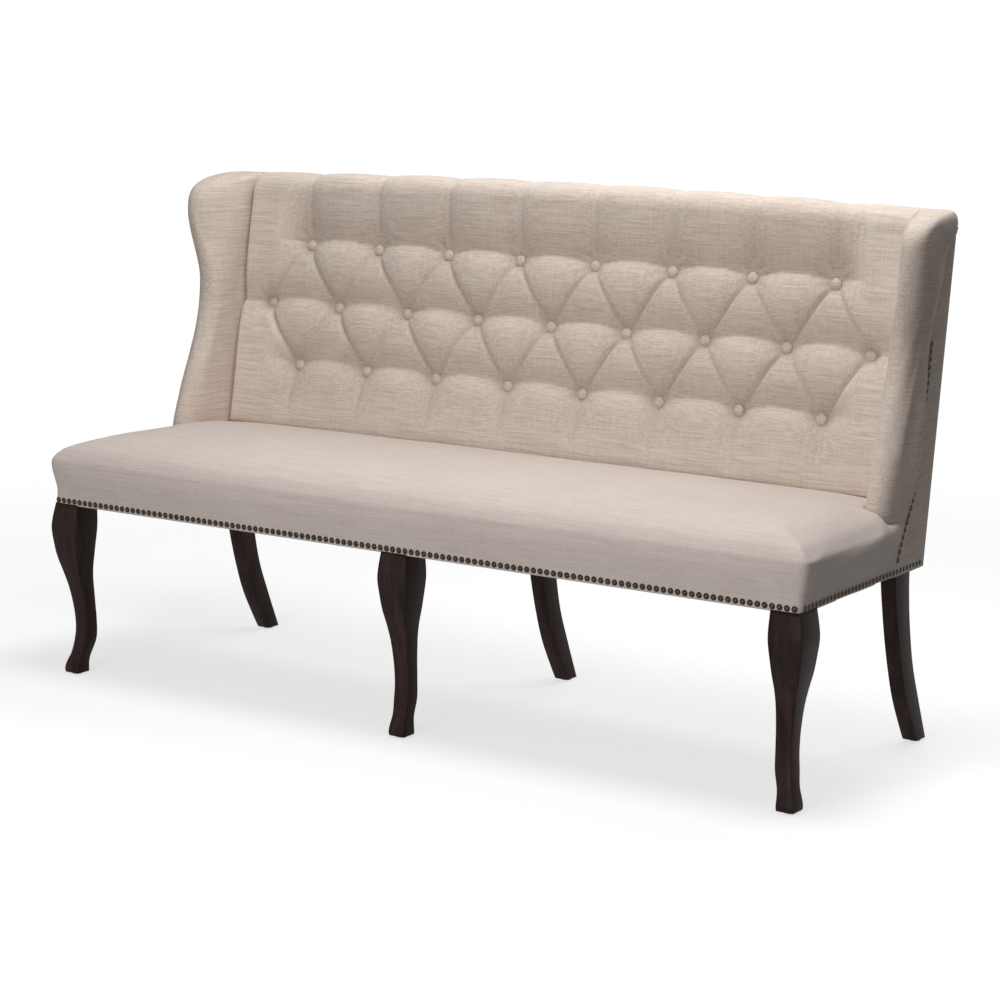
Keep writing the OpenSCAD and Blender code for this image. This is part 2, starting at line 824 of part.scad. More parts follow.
module rail_nails() {
    front_run = bench_w - 2 * corner_r * 0.4;
    count = floor(front_run / nail_pitch);
    side_run = rail_d / cos(taper_a) - 16;
    side_count = floor(side_run / nail_pitch);
    color(bronze)
        placed() {
            for (i = [0:count - 2])
                translate([(i - (count - 2) / 2) * nail_pitch, 0, leg_h + nail_z])
                    rotate([90, 0, 0])
                        nail_head();
            for (s = [-1, 1])
                on_side(s)
                    for (i = [2:side_count])
                        translate([0, i * nail_pitch, leg_h + nail_z])
                            rotate([0, 90, 0])
                                nail_head();
        }
}

// Place along the nail line at a distance from its foot
function line_len(i) = norm(nail_line[i + 1] - nail_line[i]);
function along(d, i = 0) = i >= nail_line_top || d <= line_len(i)
    ? nail_line[i] + (nail_line[i + 1] - nail_line[i]) * d / line_len(i)
    : along(d - line_len(i), i + 1);
nail_run = [for (i = 0, s = 0; i < nail_line_top; s = s + line_len(i), i = i + 1)
    s + line_len(i)][nail_line_top - 1];

module wing_nails() {
    count = floor(nail_run / nail_pitch);
    color(bronze)
        placed()
            for (s = [-1, 1])
                on_side(s)
                    for (i = [2:count]) {
                        p = along(i * nail_pitch);
                        translate([0, p[0] + nail_d * 0.6, p[1]])
                            rotate([0, 90, 0])
                                nail_head();
                    }
}

// Cabriole outline: depth in from the front corner against height, outer and inner edge
function cabriole_out() = [[glide_h, toe_in], [12, toe_in - 1], [24, toe_in + 1.5],
    [42, toe_in + 8], [62, ankle_in - 3], [90, ankle_in], [120, ankle_in - 0.8],
    [150, ankle_in * 0.83], [180, ankle_in * 0.62], [212, ankle_in * 0.3],
    [240, 0], [268, -knee_out * 0.6], [298, -knee_out], [324, -knee_out * 0.62], [leg_h, 0]];
function cabriole_in() = [[glide_h, toe_in + leg_foot], [30, toe_in + leg_foot + 1],
    [70, ankle_in + leg_ankle - 1], [105, ankle_in + leg_ankle], [150, ankle_in + leg_ankle - 2],
    [205, leg_top - 7], [250, leg_top - 4], [300, leg_top], [leg_h, leg_top]];
leg_steps = 26;
function leg_level(i) = glide_h + (leg_h - glide_h) * i / leg_steps;
cabriole = concat([for (i = [0:leg_steps]) [smooth(leg_level(i), cabriole_out()), leg_level(i)]],
    [for (i = [leg_steps:-1:0]) [smooth(leg_level(i), cabriole_in()), leg_level(i)]]);
// Front view of the middle leg, narrowing alike on both sides
function taper_half(z) = (smooth(z, cabriole_in()) - smooth(z, cabriole_out())) / 2;
middle_front = concat([for (i = [0:leg_steps]) [-taper_half(leg_level(i)), leg_level(i)]],
    [for (i = [leg_steps:-1:0]) [taper_half(leg_level(i)), leg_level(i)]]);

module upright_prism(outline, depth) {
    rotate([90, 0, 0])
        linear_extrude(depth)
            polygon(outline);
}

module leg_bores(x, y) {
    upright(x, y, leg_h - bolt_in_leg, leg_h + 1, bolt_d + 2 * bolt_play);
}

// Bandsawn from a square block: the side outline cut one way, the front outline the other
module corner_leg(side) {
    color(dark_wood)
        placed()
            translate([side * (bench_w / 2 - leg_inset), leg_inset, 0])
                mirror([side > 0 ? 1 : 0, 0, 0])
                    difference() {
                        intersection() {
                            across(-20, leg_top + 20, cabriole);
                            translate([0, leg_top + 20, 0])
                                upright_prism(cabriole, leg_top + 40);
                        }
                        leg_bores(bolt_in, bolt_in);
                        upright(glide_x, glide_x, 0, glide_h + 14, 4);
                    }
}
glide_x = toe_in + leg_foot / 2;

module left_front_leg() {
    corner_leg(-1);
}

module right_front_leg() {
    corner_leg(1);
}

module middle_front_leg() {
    color(dark_wood)
        placed()
            translate([0, leg_inset, 0])
                difference() {
                    intersection() {
                        across(-leg_top, leg_top, cabriole);
                        translate([0, leg_top + 20, 0])
                            upright_prism(middle_front, leg_top + 40);
                    }
                    leg_bores(0, bolt_in);
                    upright(0, glide_x, 0, glide_h + 14, 4);
                }
}

// Sabre outline: depth against height, front edge and rear edge
sabre_x = side_x(rail_d) - sabre_inset - sabre_t / 2;
function sabre_front() = [[glide_h, heel_y - sabre_foot - 1], [24, heel_y - sabre_foot - 14],
    [90, sabre_y + 62], [150, sabre_y + 40], [210, sabre_y + 23], [265, sabre_y + 11],
    [310, sabre_y + 3], [leg_h, sabre_y]];
function sabre_rear() = [[glide_h, heel_y], [40, heel_y - 16], [80, heel_y - 33],
    [154, sabre_y + sabre_top + 26], [236, sabre_y + sabre_top + 8],
    [300, sabre_y + sabre_top + 1], [leg_h, sabre_y + sabre_top]];
sabre = concat([for (i = [0:leg_steps]) [smooth(leg_level(i), sabre_front()), leg_level(i)]],
    [for (i = [leg_steps:-1:0]) [smooth(leg_level(i), sabre_rear()), leg_level(i)]]);

module sabre_leg(x) {
    color(dark_wood)
        placed()
            difference() {
                across(x - sabre_t / 2, x + sabre_t / 2, sabre);
                leg_bores(x, sabre_bolt_y);
                upright(x, sabre_glide_y, 0, glide_h + 14, 4);
            }
}
sabre_glide_y = heel_y - sabre_foot / 2;

module left_rear_leg() {
    sabre_leg(-sabre_x);
}

module middle_rear_leg() {
    sabre_leg(0);
}

module right_rear_leg() {
    sabre_leg(sabre_x);
}

// Double-ended bolts: the front ones pass a block and take a nut, the rear ones go into wood
module leg_bolts() {
    front_x = bench_w / 2 - leg_inset - bolt_in;
    color(steel)
        placed() {
            for (x = [-front_x, 0, front_x])
                translate([x, leg_inset + bolt_in, 0]) {
                    upright(0, 0, leg_h - bolt_in_leg + 1, leg_h + cross_h + 8.5, bolt_d);
                    translate([0, 0, leg_h + cross_h])
                        cylinder(h = 1.5, d = 22);
                    translate([0, 0, leg_h + cross_h + 1.5])
                        cylinder(h = 6, d = 15, $fn = 6);
                }
            for (x = [-sabre_x, 0, sabre_x])
                upright(x, sabre_bolt_y, leg_h - bolt_in_leg + 1, leg_h + bolt_in_frame - 1, bolt_d);
        }
}

// Nylon glides with a pin up into each foot
module foot_glides() {
    front_x = bench_w / 2 - leg_inset - glide_x;
    spots = concat([for (x = [-front_x, 0, front_x]) [x, leg_inset + glide_x]],
        [for (x = [-sabre_x, 0, sabre_x]) [x, sabre_glide_y]]);
    color("gainsboro")
        placed()
            for (p = spots)
                translate([p[0], p[1], 0])
                    union() {
                        cylinder(h = glide_h, d = glide_d);
                        cylinder(h = glide_h + 12, d = 3.8);
                    }
}

front_rail();
rear_rail();
left_side_rail();
right_side_rail();
cross_rails();
corner_blocks();
left_back_post();
right_back_post();
back_studs();
back_top_rail();
back_lower_rail();
left_wing_board();
right_wing_board();
spring_clips();
seat_springs();
deck_cloth();
seat_foam();
seat_cover();
back_webbing();
back_cushion();
tuft_buttons();
outside_back();
left_wing_pad();
right_wing_pad();
left_wing_panel();
right_wing_panel();
dust_cover();
rail_nails();
wing_nails();
left_front_leg();
middle_front_leg();
right_front_leg();
left_rear_leg();
middle_rear_leg();
right_rear_leg();
leg_bolts();
foot_glides();
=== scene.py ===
# %% [markdown]
# # Upholstered dining bench
# A settee for a dining table: a sprung seat, a leaning back with deep buttons, two padded wings,
# a trim of domed nails and six dark legs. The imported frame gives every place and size, so this
# lesson only dresses it. Each cell makes one piece or one finish.

# %% Load the frame
import json
import math
import random

import bmesh
import bpy
from mathutils import Matrix, Vector, noise


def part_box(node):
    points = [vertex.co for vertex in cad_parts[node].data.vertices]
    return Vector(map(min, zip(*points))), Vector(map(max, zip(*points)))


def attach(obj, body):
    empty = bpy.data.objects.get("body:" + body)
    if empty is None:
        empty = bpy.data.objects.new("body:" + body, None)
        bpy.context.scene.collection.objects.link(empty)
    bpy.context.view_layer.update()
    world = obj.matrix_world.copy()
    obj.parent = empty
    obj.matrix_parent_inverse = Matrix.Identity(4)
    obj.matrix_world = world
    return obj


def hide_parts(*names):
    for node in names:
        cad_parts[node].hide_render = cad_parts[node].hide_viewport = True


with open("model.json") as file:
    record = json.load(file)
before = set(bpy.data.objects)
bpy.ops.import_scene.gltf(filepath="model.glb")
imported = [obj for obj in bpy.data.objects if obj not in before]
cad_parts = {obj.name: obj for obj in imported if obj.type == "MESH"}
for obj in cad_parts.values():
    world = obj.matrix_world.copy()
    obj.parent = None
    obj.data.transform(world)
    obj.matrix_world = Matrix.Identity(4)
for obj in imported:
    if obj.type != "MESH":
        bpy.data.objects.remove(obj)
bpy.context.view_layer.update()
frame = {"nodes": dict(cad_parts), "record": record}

# %% [markdown]
# A maker works in millimetres from the front face of the rails, and Blender in metres from the
# origin. `at` turns one into the other and `point_mm` turns it back, so the numbers below stay the
# ones on a workshop drawing.

# %% Sizes on the drawing
MM = 0.001
COVER = 4.0  # cloth and wadding over the rails
RAIL_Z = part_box("front_rail")[0].z / MM
FACE_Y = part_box("front_rail")[0].y / MM - COVER
HALF_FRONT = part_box("front_rail")[1].x / MM + COVER
RAIL_D = 494.0
TAPER = 25 / RAIL_D  # each side comes in by 25 mm from front to rear
LEAN = 0.165  # the back leans by this much of its height
TOP_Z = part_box("back_cushion")[1].z / MM
SEAT_Z = RAIL_Z + 126
WING = 46.0  # thickness of a wing


def at(x, y, z):
    return Vector((x, y + FACE_Y, z)) * MM


def point_mm(place):
    return place.x / MM, place.y / MM - FACE_Y, place.z / MM


def side_x(y):
    return HALF_FRONT - TAPER * y


def back_y(z):
    return RAIL_D + LEAN * (z - RAIL_Z)


def ease(a, b, t):
    u = min(max((t - a) / (b - a), 0.0), 1.0)
    return u * u * (3 - 2 * u)


print(f"half width {HALF_FRONT:.0f}, rails at {RAIL_Z:.0f}, top at {TOP_Z:.0f} mm")

# %% [markdown]
# Curves on a drawing are given by a few points with a smooth line through them. `curve` reads
# such a list of (key, value) pairs, with a cubic between neighbours.

# %% A smooth line through points


def curve(pairs, t):
    i = 0
    while i < len(pairs) - 2 and t >= pairs[i + 1][0]:
        i += 1

    def slope(k):
        a, b = max(k - 1, 0), min(k + 1, len(pairs) - 1)
        return (pairs[b][1] - pairs[a][1]) / (pairs[b][0] - pairs[a][0])

    h = pairs[i + 1][0] - pairs[i][0]
    u = min(max((t - pairs[i][0]) / h, 0.0), 1.0)
    start = (2 * u**3 - 3 * u**2 + 1) * pairs[i][1] + (u**3 - 2 * u**2 + u) * h * slope(i)
    end = (3 * u**2 - 2 * u**3) * pairs[i + 1][1] + (u**3 - u**2) * h * slope(i + 1)
    return start + end


WING_FRONT = [(430, 311), (482, 322), (540, 340), (600, 364), (660, 386), (720, 400), (770, 403),
              (830, 397), (880, 391), (918, 391), (942, 401), (959, 424), (970, 458), (976, 506)]
NAIL_LINE = [(348, 364), (378, 372), (418, 392), (462, 420), (510, 443), (570, 457), (638, 468),
             (703, 480), (753, 489), (808, 509), (863, 532), (908, 552), (926, 560)]
print("wing front at seat height:", round(curve(WING_FRONT, SEAT_Z)), "mm behind the rail face")

# %% [markdown]
# ## Finishes
# Every finish is a small tree of nodes. What several share, such as the threads of the linen or
# the grain of wood, is a group with named sockets.

# %% Helpers for node trees


def new_group(name, inputs, outputs):
    group = bpy.data.node_groups.new(name, "ShaderNodeTree")
    for label, kind, value in inputs:
        socket = group.interface.new_socket(label, in_out="INPUT", socket_type=kind)
        if value is not None:
            socket.default_value = value
    for label, kind in outputs:
        group.interface.new_socket(label, in_out="OUTPUT", socket_type=kind)
    return group, group.nodes.new("NodeGroupInput"), group.nodes.new("NodeGroupOutput")


def math_node(tree, operation, a, b=None, c=None, clamp=False):
    node = tree.nodes.new("ShaderNodeMath")
    node.operation = operation
    node.use_clamp = clamp
    for socket, value in zip(node.inputs, (a, b, c)):
        if isinstance(value, (int, float)):
            socket.default_value = value
        elif value is not None:
            tree.links.new(value, socket)
    return node.outputs[0]


def mix_colour(tree, factor, a, b, blend="MIX"):
    node = tree.nodes.new("ShaderNodeMix")
    node.data_type = "RGBA"
    node.blend_type = blend
    for index, value in ((0, factor), (6, a), (7, b)):
        if isinstance(value, (int, float)):
            node.inputs[index].default_value = value
        elif isinstance(value, tuple):
            node.inputs[index].default_value = (*value, 1) if len(value) == 3 else value
        else:
            tree.links.new(value, node.inputs[index])
    return node.outputs[2]


def noise_node(tree, vector, scale, detail=2.0, rough=0.5):
    node = tree.nodes.new("ShaderNodeTexNoise")
    node.inputs["Scale"].default_value = scale
    node.inputs["Detail"].default_value = detail
    node.inputs["Roughness"].default_value = rough
    tree.links.new(vector, node.inputs["Vector"])
    return node.outputs["Fac"]


def stretched(tree, vector, scale):
    node = tree.nodes.new("ShaderNodeMapping")
    node.inputs["Scale"].default_value = scale
    tree.links.new(vector, node.inputs["Vector"])
    return node.outputs["Vector"]


def ramp(tree, value, stops):
    node = tree.nodes.new("ShaderNodeValToRGB")
    tree.links.new(value, node.inputs["Fac"])
    while len(node.color_ramp.elements) < len(stops):
        node.color_ramp.elements.new(0.5)
    for element, (place, colour) in zip(node.color_ramp.elements, stops):
        element.position = place
        element.color = (*colour, 1) if isinstance(colour, tuple) else (colour, colour, colour, 1)
    return node.outputs["Color"]


print("node helpers ready")

# %% [markdown]
# Linen is a plain weave of uneven yarn. A yarn that swells for a few centimetres is a slub, and it
# shows as a pale or dark dash along the cloth. Noise that is stretched along one axis gives such
# dashes. The warp runs up the back and to the rear of the seat, and the weft runs along the bench;
# on the sides, where the cloth faces sideways, the weft turns to run from front to rear.

# %% Slub weave group


def build_weave():
    tree, source, sink = new_group(
        "Slub weave",
        [("Vector", "NodeSocketVector", None), ("Thread", "NodeSocketFloat", 900.0),
         ("Slub", "NodeSocketFloat", 1.0)],
        [("Tone", "NodeSocketFloat"), ("Height", "NodeSocketFloat")])
    vector = source.outputs["Vector"]
    geometry = tree.nodes.new("ShaderNodeNewGeometry")
    split = tree.nodes.new("ShaderNodeSeparateXYZ")
    tree.links.new(geometry.outputs["Normal"], split.inputs[0])
    sideways = math_node(tree, "ABSOLUTE", split.outputs["X"])
    side = math_node(tree, "MULTIPLY_ADD", sideways, 6.0, -3.6, clamp=True)

    def both(front_scale, side_scale, scale, detail):
        front = noise_node(tree, stretched(tree, vector, front_scale), scale, detail)
        flank = noise_node(tree, stretched(tree, vector, side_scale), scale, detail)
        gap = math_node(tree, "SUBTRACT", flank, front)
        return math_node(tree, "MULTIPLY_ADD", gap, side, front)

    weft = both((12, 520, 520), (12, 12, 520), 1.0, 3.0)
    warp = both((520, 12, 12), (12, 520, 12), 1.0, 3.0)
    fine_weft = both((60, 1300, 1300), (60, 60, 1300), 1.0, 2.0)
    fine_warp = both((1300, 60, 60), (60, 1300, 60), 1.0, 2.0)

    def centred(value):
        return math_node(tree, "SUBTRACT", value, 0.5)

    upright = math_node(tree, "MULTIPLY", centred(warp), 0.32)
    slub = math_node(tree, "ADD", centred(weft), upright)
    upright = math_node(tree, "MULTIPLY", centred(fine_warp), 0.7)
    fine = math_node(tree, "ADD", centred(fine_weft), upright)
    slub = math_node(tree, "MULTIPLY", slub, source.outputs["Slub"])
    tone = math_node(tree, "MULTIPLY_ADD", fine, 0.6, slub)
    tree.links.new(math_node(tree, "ADD", tone, 0.5, clamp=True), sink.inputs["Tone"])
    tree.links.new(math_node(tree, "MULTIPLY_ADD", fine, 0.9, slub), sink.inputs["Height"])
    return tree


WEAVE = build_weave()
print("weave group:", len(WEAVE.nodes), "nodes")

# %% [markdown]
# Cloth isn't one colour. Slubs are darker or lighter than the ground, and wide patches have faded
# or been handled a little. Sheen stands for the fuzz of the yarn that catches light at an angle.
# The seat's cloth is a paler and cooler copy of the same linen: painted light, so that the seat
# looks more brightly lit than the back. The tufted back carries an attribute that says how deep
# in a crease each point is, and its finish darkens the cloth there: painted shade in the folds,
# round the buttons and below the last row.

# %% Linen


def new_material(name, fixed):
    """A material whose shader has these inputs set to one value."""
    material = bpy.data.materials.new(name)
    material.use_nodes = True
    shader = material.node_tree.nodes["Principled BSDF"]
    for label, value in fixed.items():
        shader.inputs[label].default_value = value
    return material, material.node_tree, shader


def object_vector(tree):
    return tree.nodes.new("ShaderNodeTexCoord").outputs["Object"]


def attribute(tree, name):
    node = tree.nodes.new("ShaderNodeAttribute")
    node.attribute_name = name
    return node.outputs["Fac"]


def add_bump(tree, shader, height, strength, distance):
    bump = tree.nodes.new("ShaderNodeBump")
    bump.inputs["Strength"].default_value = strength
    bump.inputs["Distance"].default_value = distance
    tree.links.new(height, bump.inputs["Height"])
    tree.links.new(bump.outputs["Normal"], shader.inputs["Normal"])


def linen(name, dark, ground, pale, slub=1.0, creased=False):
    material, tree, shader = new_material(name, {
        "Roughness": 0.92, "Specular IOR Level": 0.2, "Sheen Weight": 0.12, "Sheen Roughness": 0.5})
    vector = object_vector(tree)
    weave = tree.nodes.new("ShaderNodeGroup")
    weave.node_tree = WEAVE
    weave.inputs["Slub"].default_value = slub
    tree.links.new(vector, weave.inputs["Vector"])
    colour = ramp(tree, weave.outputs["Tone"], [(0.3, dark), (0.5, ground), (0.72, pale)])
    patch = noise_node(tree, vector, 5.0, 3.0)
    tint = ramp(tree, patch, [(0.3, (0.95, 0.945, 0.94)), (0.7, (1, 1, 1))])
    colour = mix_colour(tree, 1.0, colour, tint, "MULTIPLY")
    if creased:
        # Painted shade: the colour is darkened where the crease attribute is high, in folds and
        # pits.
        shade = ramp(tree, attribute(tree, "crease"),
                     [(0.05, (1, 1, 1)), (1.0, (0.72, 0.695, 0.675))])
        colour = mix_colour(tree, 1.0, colour, shade, "MULTIPLY")
    tree.links.new(colour, shader.inputs["Base Color"])
    add_bump(tree, shader, weave.outputs["Height"], 0.25, 0.0005)
    return material


LINEN = linen("Oatmeal linen",
              (0.540, 0.446, 0.378), (0.645, 0.548, 0.476), (0.715, 0.626, 0.556), 1.15)
# Painted light: a paler, cooler copy of the linen, so that the seat looks more brightly lit.
SEAT_LINEN_PAINTED_LIGHT = linen("Pale linen",
                   (0.612, 0.528, 0.476), (0.674, 0.588, 0.535), (0.720, 0.638, 0.590))
TUFTED_LINEN = linen("Tufted linen",
                     (0.585, 0.485, 0.412), (0.700, 0.597, 0.522), (0.775, 0.682, 0.608),
                     1.15, creased=True)
print("linen made")

# %% [markdown]
# The legs are beech under a dark stain and a satin lacquer. Grain runs up each leg: noise that is
# squeezed across and stretched along it gives the pores. The stain wears red-brown on the edges,
# where lacquer is thin; the reddish streaks of the grain stand for it, spread at random.

# %% Wood grain group and espresso lacquer


def build_grain():
    tree, source, sink = new_group(
        "Wood grain",
        [("Vector", "NodeSocketVector", None), ("Fineness", "NodeSocketFloat", 1.0)],
        [("Band", "NodeSocketFloat"), ("Pore", "NodeSocketFloat")])
    scaled = tree.nodes.new("ShaderNodeVectorMath")
    scaled.operation = "SCALE"
    tree.links.new(source.outputs["Vector"], scaled.inputs[0])
    tree.links.new(source.outputs["Fineness"], scaled.inputs["Scale"])
    vector = scaled.outputs[0]
    tree.links.new(noise_node(tree, vector, 1.0, 4.0, 0.6), sink.inputs["Band"])
    pore = noise_node(tree, stretched(tree, vector, (9, 9, 3)), 1.0, 2.0, 0.7)
    tree.links.new(pore, sink.inputs["Pore"])
    return tree


GRAIN = build_grain()


def wood(name, dark, mid, light, along, roughness, relief=0.2, specular=0.5):
    material, tree, shader = new_material(name, {"Specular IOR Level": specular})
    grain = tree.nodes.new("ShaderNodeGroup")
    grain.node_tree = GRAIN
    tree.links.new(stretched(tree, object_vector(tree), along), grain.inputs["Vector"])
    colour = ramp(tree, grain.outputs["Band"], [(0.32, dark), (0.5, mid), (0.7, light)])
    pores = ramp(tree, grain.outputs["Pore"], [(0.35, 0.72), (0.55, 1.0)])
    tree.links.new(mix_colour(tree, 1.0, colour, pores, "MULTIPLY"), shader.inputs["Base Color"])
    rough = math_node(tree, "MULTIPLY_ADD", grain.outputs["Pore"], 0.14, roughness - 0.07)
    tree.links.new(rough, shader.inputs["Roughness"])
    add_bump(tree, shader, grain.outputs["Pore"], relief, 0.0004)
    return material


ESPRESSO = wood("Espresso lacquer",
                (0.016, 0.010, 0.009), (0.032, 0.019, 0.016), (0.056, 0.032, 0.028),
                (55, 55, 5), 0.42, relief=0.12, specular=0.07)
print("espresso lacquer made")

# %% [markdown]
# The inner frame hardly shows, but it is real timber, steel and cloth, so each gets its own finish.
# Sawn beech is pale with short flecks, and plywood has fine straight grain.

# %% Finishes of the inner pieces
BEECH = wood("Sawn beech",
             (0.42, 0.27, 0.15), (0.56, 0.38, 0.22), (0.66, 0.48, 0.30), (5, 60, 60), 0.62)
PLYWOOD = wood("Wing plywood",
               (0.46, 0.32, 0.19), (0.60, 0.44, 0.28), (0.70, 0.54, 0.37), (60, 60, 6), 0.6)


def metal(name, dark, bright, roughness, speckle):
    material, tree, shader = new_material(name, {"Metallic": 1.0})
    spots = noise_node(tree, object_vector(tree), speckle, 4.0, 0.6)
    rough = math_node(tree, "MULTIPLY_ADD", spots, 0.2, roughness - 0.1)
    tree.links.new(ramp(tree, spots, [(0.35, dark), (0.65, bright)]), shader.inputs["Base Color"])
    tree.links.new(rough, shader.inputs["Roughness"])
    add_bump(tree, shader, spots, 0.1, 0.0002)
    return material


def plain_cloth(name, dark, light, threads, roughness):
    material, tree, shader = new_material(name, {"Roughness": roughness, "Sheen Weight": 0.1})
    fibres = noise_node(tree, object_vector(tree), threads, 5.0, 0.7)
    tree.links.new(ramp(tree, fibres, [(0.35, dark), (0.65, light)]), shader.inputs["Base Color"])
    add_bump(tree, shader, fibres, 0.3, 0.0005)
    return material


INNER = {
    "frame_wood": BEECH,
    "wing_plywood": PLYWOOD,
    "dark_wood": ESPRESSO,
    "linen": LINEN,
    "spring_steel": metal("Spring wire", (0.16, 0.16, 0.17), (0.32, 0.32, 0.33), 0.38, 120),
    "bolt_steel": metal("Zinc plate", (0.48, 0.47, 0.42), (0.68, 0.67, 0.62), 0.32, 90),
    "deck_cloth": plain_cloth("Deck cloth", (0.10, 0.10, 0.105), (0.16, 0.16, 0.165), 700, 0.9),
    "foam": plain_cloth("Foam block", (0.62, 0.55, 0.33), (0.76, 0.70, 0.48), 500, 0.95),
    "webbing": plain_cloth("Jute webbing", (0.32, 0.23, 0.13), (0.50, 0.39, 0.24), 400, 0.9),
    "dust_cloth": plain_cloth("Dust cloth", (0.012, 0.012, 0.013), (0.03, 0.03, 0.032), 600, 0.9),
    "glide_nylon": plain_cloth("Nylon glide", (0.50, 0.49, 0.45), (0.58, 0.57, 0.53), 60, 0.45),
    "nail_bronze": metal("Bronze", (0.05, 0.032, 0.02), (0.16, 0.11, 0.07), 0.36, 500),
}
slots = {row["node"]: row["material_slot"] for row in frame["record"]["subparts"]}
for name, node in frame["nodes"].items():
    node.data.materials.clear()
    node.data.materials.append(INNER[slots[name]])
print("finishes on", len(slots), "nodes")

# %% [markdown]
# ## Making a piece
# Each piece is a bmesh that becomes one object at the origin. `make` writes it, gives it its
# finish, lets it ride on the bench and hides the solids of the frame that it stands for.

# %% Helpers for pieces


def new_object(name, data):
    thing = bpy.data.objects.new(name, data)
    bpy.context.scene.collection.objects.link(thing)
    return thing


def new_mesh(bm, name, material):
    mesh = bpy.data.meshes.new(name)
    bm.to_mesh(mesh)
    bm.free()
    mesh.materials.append(material)
    return mesh


def make(bm, name, material, nodes, modifiers=()):
    mesh = new_mesh(bm, name, material)
    for face in mesh.polygons:
        face.use_smooth = True
    piece = new_object(name, mesh)
    for kind, settings in modifiers:
        modifier = piece.modifiers.new(kind.title(), kind)
        for key, value in settings.items():
            setattr(modifier, key, value)
    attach(piece, "root")
    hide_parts(*nodes)
    print(name, "faces:", len(mesh.polygons))
    return piece


def outward(bm):
    bmesh.ops.recalc_face_normals(bm, faces=bm.faces)


def bevel(bm, edges, width, segments):
    bmesh.ops.bevel(bm, geom=edges, offset=width * MM, segments=segments, affect="EDGES",
                    profile=0.5, material=-1)


def ring(bm, points):
    """A closed loop of edges through points: a circle whose vertices are moved."""
    made = bmesh.ops.create_circle(bm, segments=len(points), radius=1.0, cap_ends=False)["verts"]
    for vert, point in zip(made, points):
        vert.co = point
    return list({edge for vert in made for edge in vert.link_edges})


def loft(bm, loops):
    """Bridges each loop of points to the next and closes both ends."""
    rings = [ring(bm, points) for points in loops]
    for low, high in zip(rings, rings[1:]):
        bmesh.ops.bridge_loops(bm, edges=low + high)
    for edges in (rings[0], rings[-1]):
        bmesh.ops.contextual_create(bm, geom=edges)


print("piece helpers ready")

# %% [markdown]
# ## The seat
# The seat is foam under batting and linen, pulled down over the rails and tacked. Its top is
# crowned, its front and sides swell a little over the rail and its edges are soft. Blocks give
# the outline, a voxel remesh welds them into one even skin, and a cloth simulation with some air
# pressure lets the skin swell as padding does. It is held where the nails hold it.

# %% Outline of the seat from blocks
SEAT_REAR = back_y(SEAT_Z) - 47.5
WING_INSIDE = WING + 2
HEM = 7.0  # the cover reaches this far below the rails
CORNER_ROUND, EDGE_ROUND = 12, 16


def tapered_block(bm, y0, y1, z1, inset):
    """A block from the hem up, as wide as the bench at each depth less an inset on each side."""
    block = bmesh.ops.create_cube(bm, size=1.0)["verts"]
    for vert in block:
        y = y0 if vert.co.y < 0 else y1
        x = (side_x(y) - inset) * (-1 if vert.co.x < 0 else 1)
        vert.co = at(x, y, RAIL_Z - HEM if vert.co.z < 0 else z1)
    return block


def seat_outline():
    bm = bmesh.new()
    join, skirt_y = curve(WING_FRONT, SEAT_Z) + 4, 300
    block = tapered_block(bm, 0, join, SEAT_Z, 0)
    front = {e for v in block for e in v.link_edges if e.verts[0].co.y < at(0, join / 2, 0).y
             and abs(e.verts[0].co.z - e.verts[1].co.z) > 10 * MM}
    bevel(bm, list(front), CORNER_ROUND, 5)
    top = [e for e in bm.edges if min(v.co.z for v in e.verts) > at(0, 0, SEAT_Z - 1).z
           and min(v.co.y for v in e.verts) < at(0, join - 1, 0).y]
    bevel(bm, top, EDGE_ROUND, 8)
    tapered_block(bm, skirt_y, SEAT_REAR, SEAT_Z, WING_INSIDE)
    for vert in tapered_block(bm, skirt_y, 394, RAIL_Z + 98, 0):
        if vert.co.y > at(0, skirt_y + 50, 0).y and vert.co.z > at(0, 0, RAIL_Z).z:
            vert.co.y = at(0, 440, 0).y
    outward(bm)
    return bm


def apply_modifiers(piece):
    """Bakes the live modifiers of a piece into its mesh."""
    graph = bpy.context.evaluated_depsgraph_get()
    baked = bpy.data.meshes.new_from_object(piece.evaluated_get(graph))
    old = piece.data
    piece.modifiers.clear()
    piece.data = baked
    bpy.data.meshes.remove(old)


def shape_seat(mesh):
    """Crown on top, lower at the edges and the rear, and a swelling over the rails that dies
    away under the wings."""
    for vert in mesh.vertices:
        x, y, z = point_mm(vert.co)
        inward = side_x(y) - abs(x)
        edge = min(inward, y)
        on_top, upper = ease(440, 470, z), ease(425, 470, z)
        crown = 9 * (1 - math.exp(-max(edge - 20, 0) / 95)) * (0.8 + 0.2 * math.cos(x / 520))
        crown *= on_top * (1 - 0.7 * ease(SEAT_REAR - 60, SEAT_REAR, y))
        crown -= 22 * math.exp(-max(edge, 0) / 34) * upper * (1 - ease(280, 350, y))
        crown -= 13 * ease(SEAT_REAR - 150, SEAT_REAR, y) * upper
        line = curve(NAIL_LINE, max(z, RAIL_Z))
        bulge = 8 * math.exp(-(((z - 428) / 38) ** 2)) * ease(362, 386, z)
        sides = 1.6 * bulge * (1 - 0.95 * ease(-60, 2, y - line))
        side, front = ease(60, 0, inward), ease(60, 0, y)
        wave = noise.noise(Vector((x / 130, y / 90, z / 60))) * 1.1
        hem = 0.2 * max(RAIL_Z + HEM - z, 0)
        tuck = side * ease(-14, 4, y - line)
        vert.co.z += (crown + wave * on_top * 0.7 + hem) * MM
        vert.co.x += math.copysign(sides * side - tuck, x) * MM
        vert.co.y -= (bulge + wave * 0.4) * front * ease(366, 390, z) * MM


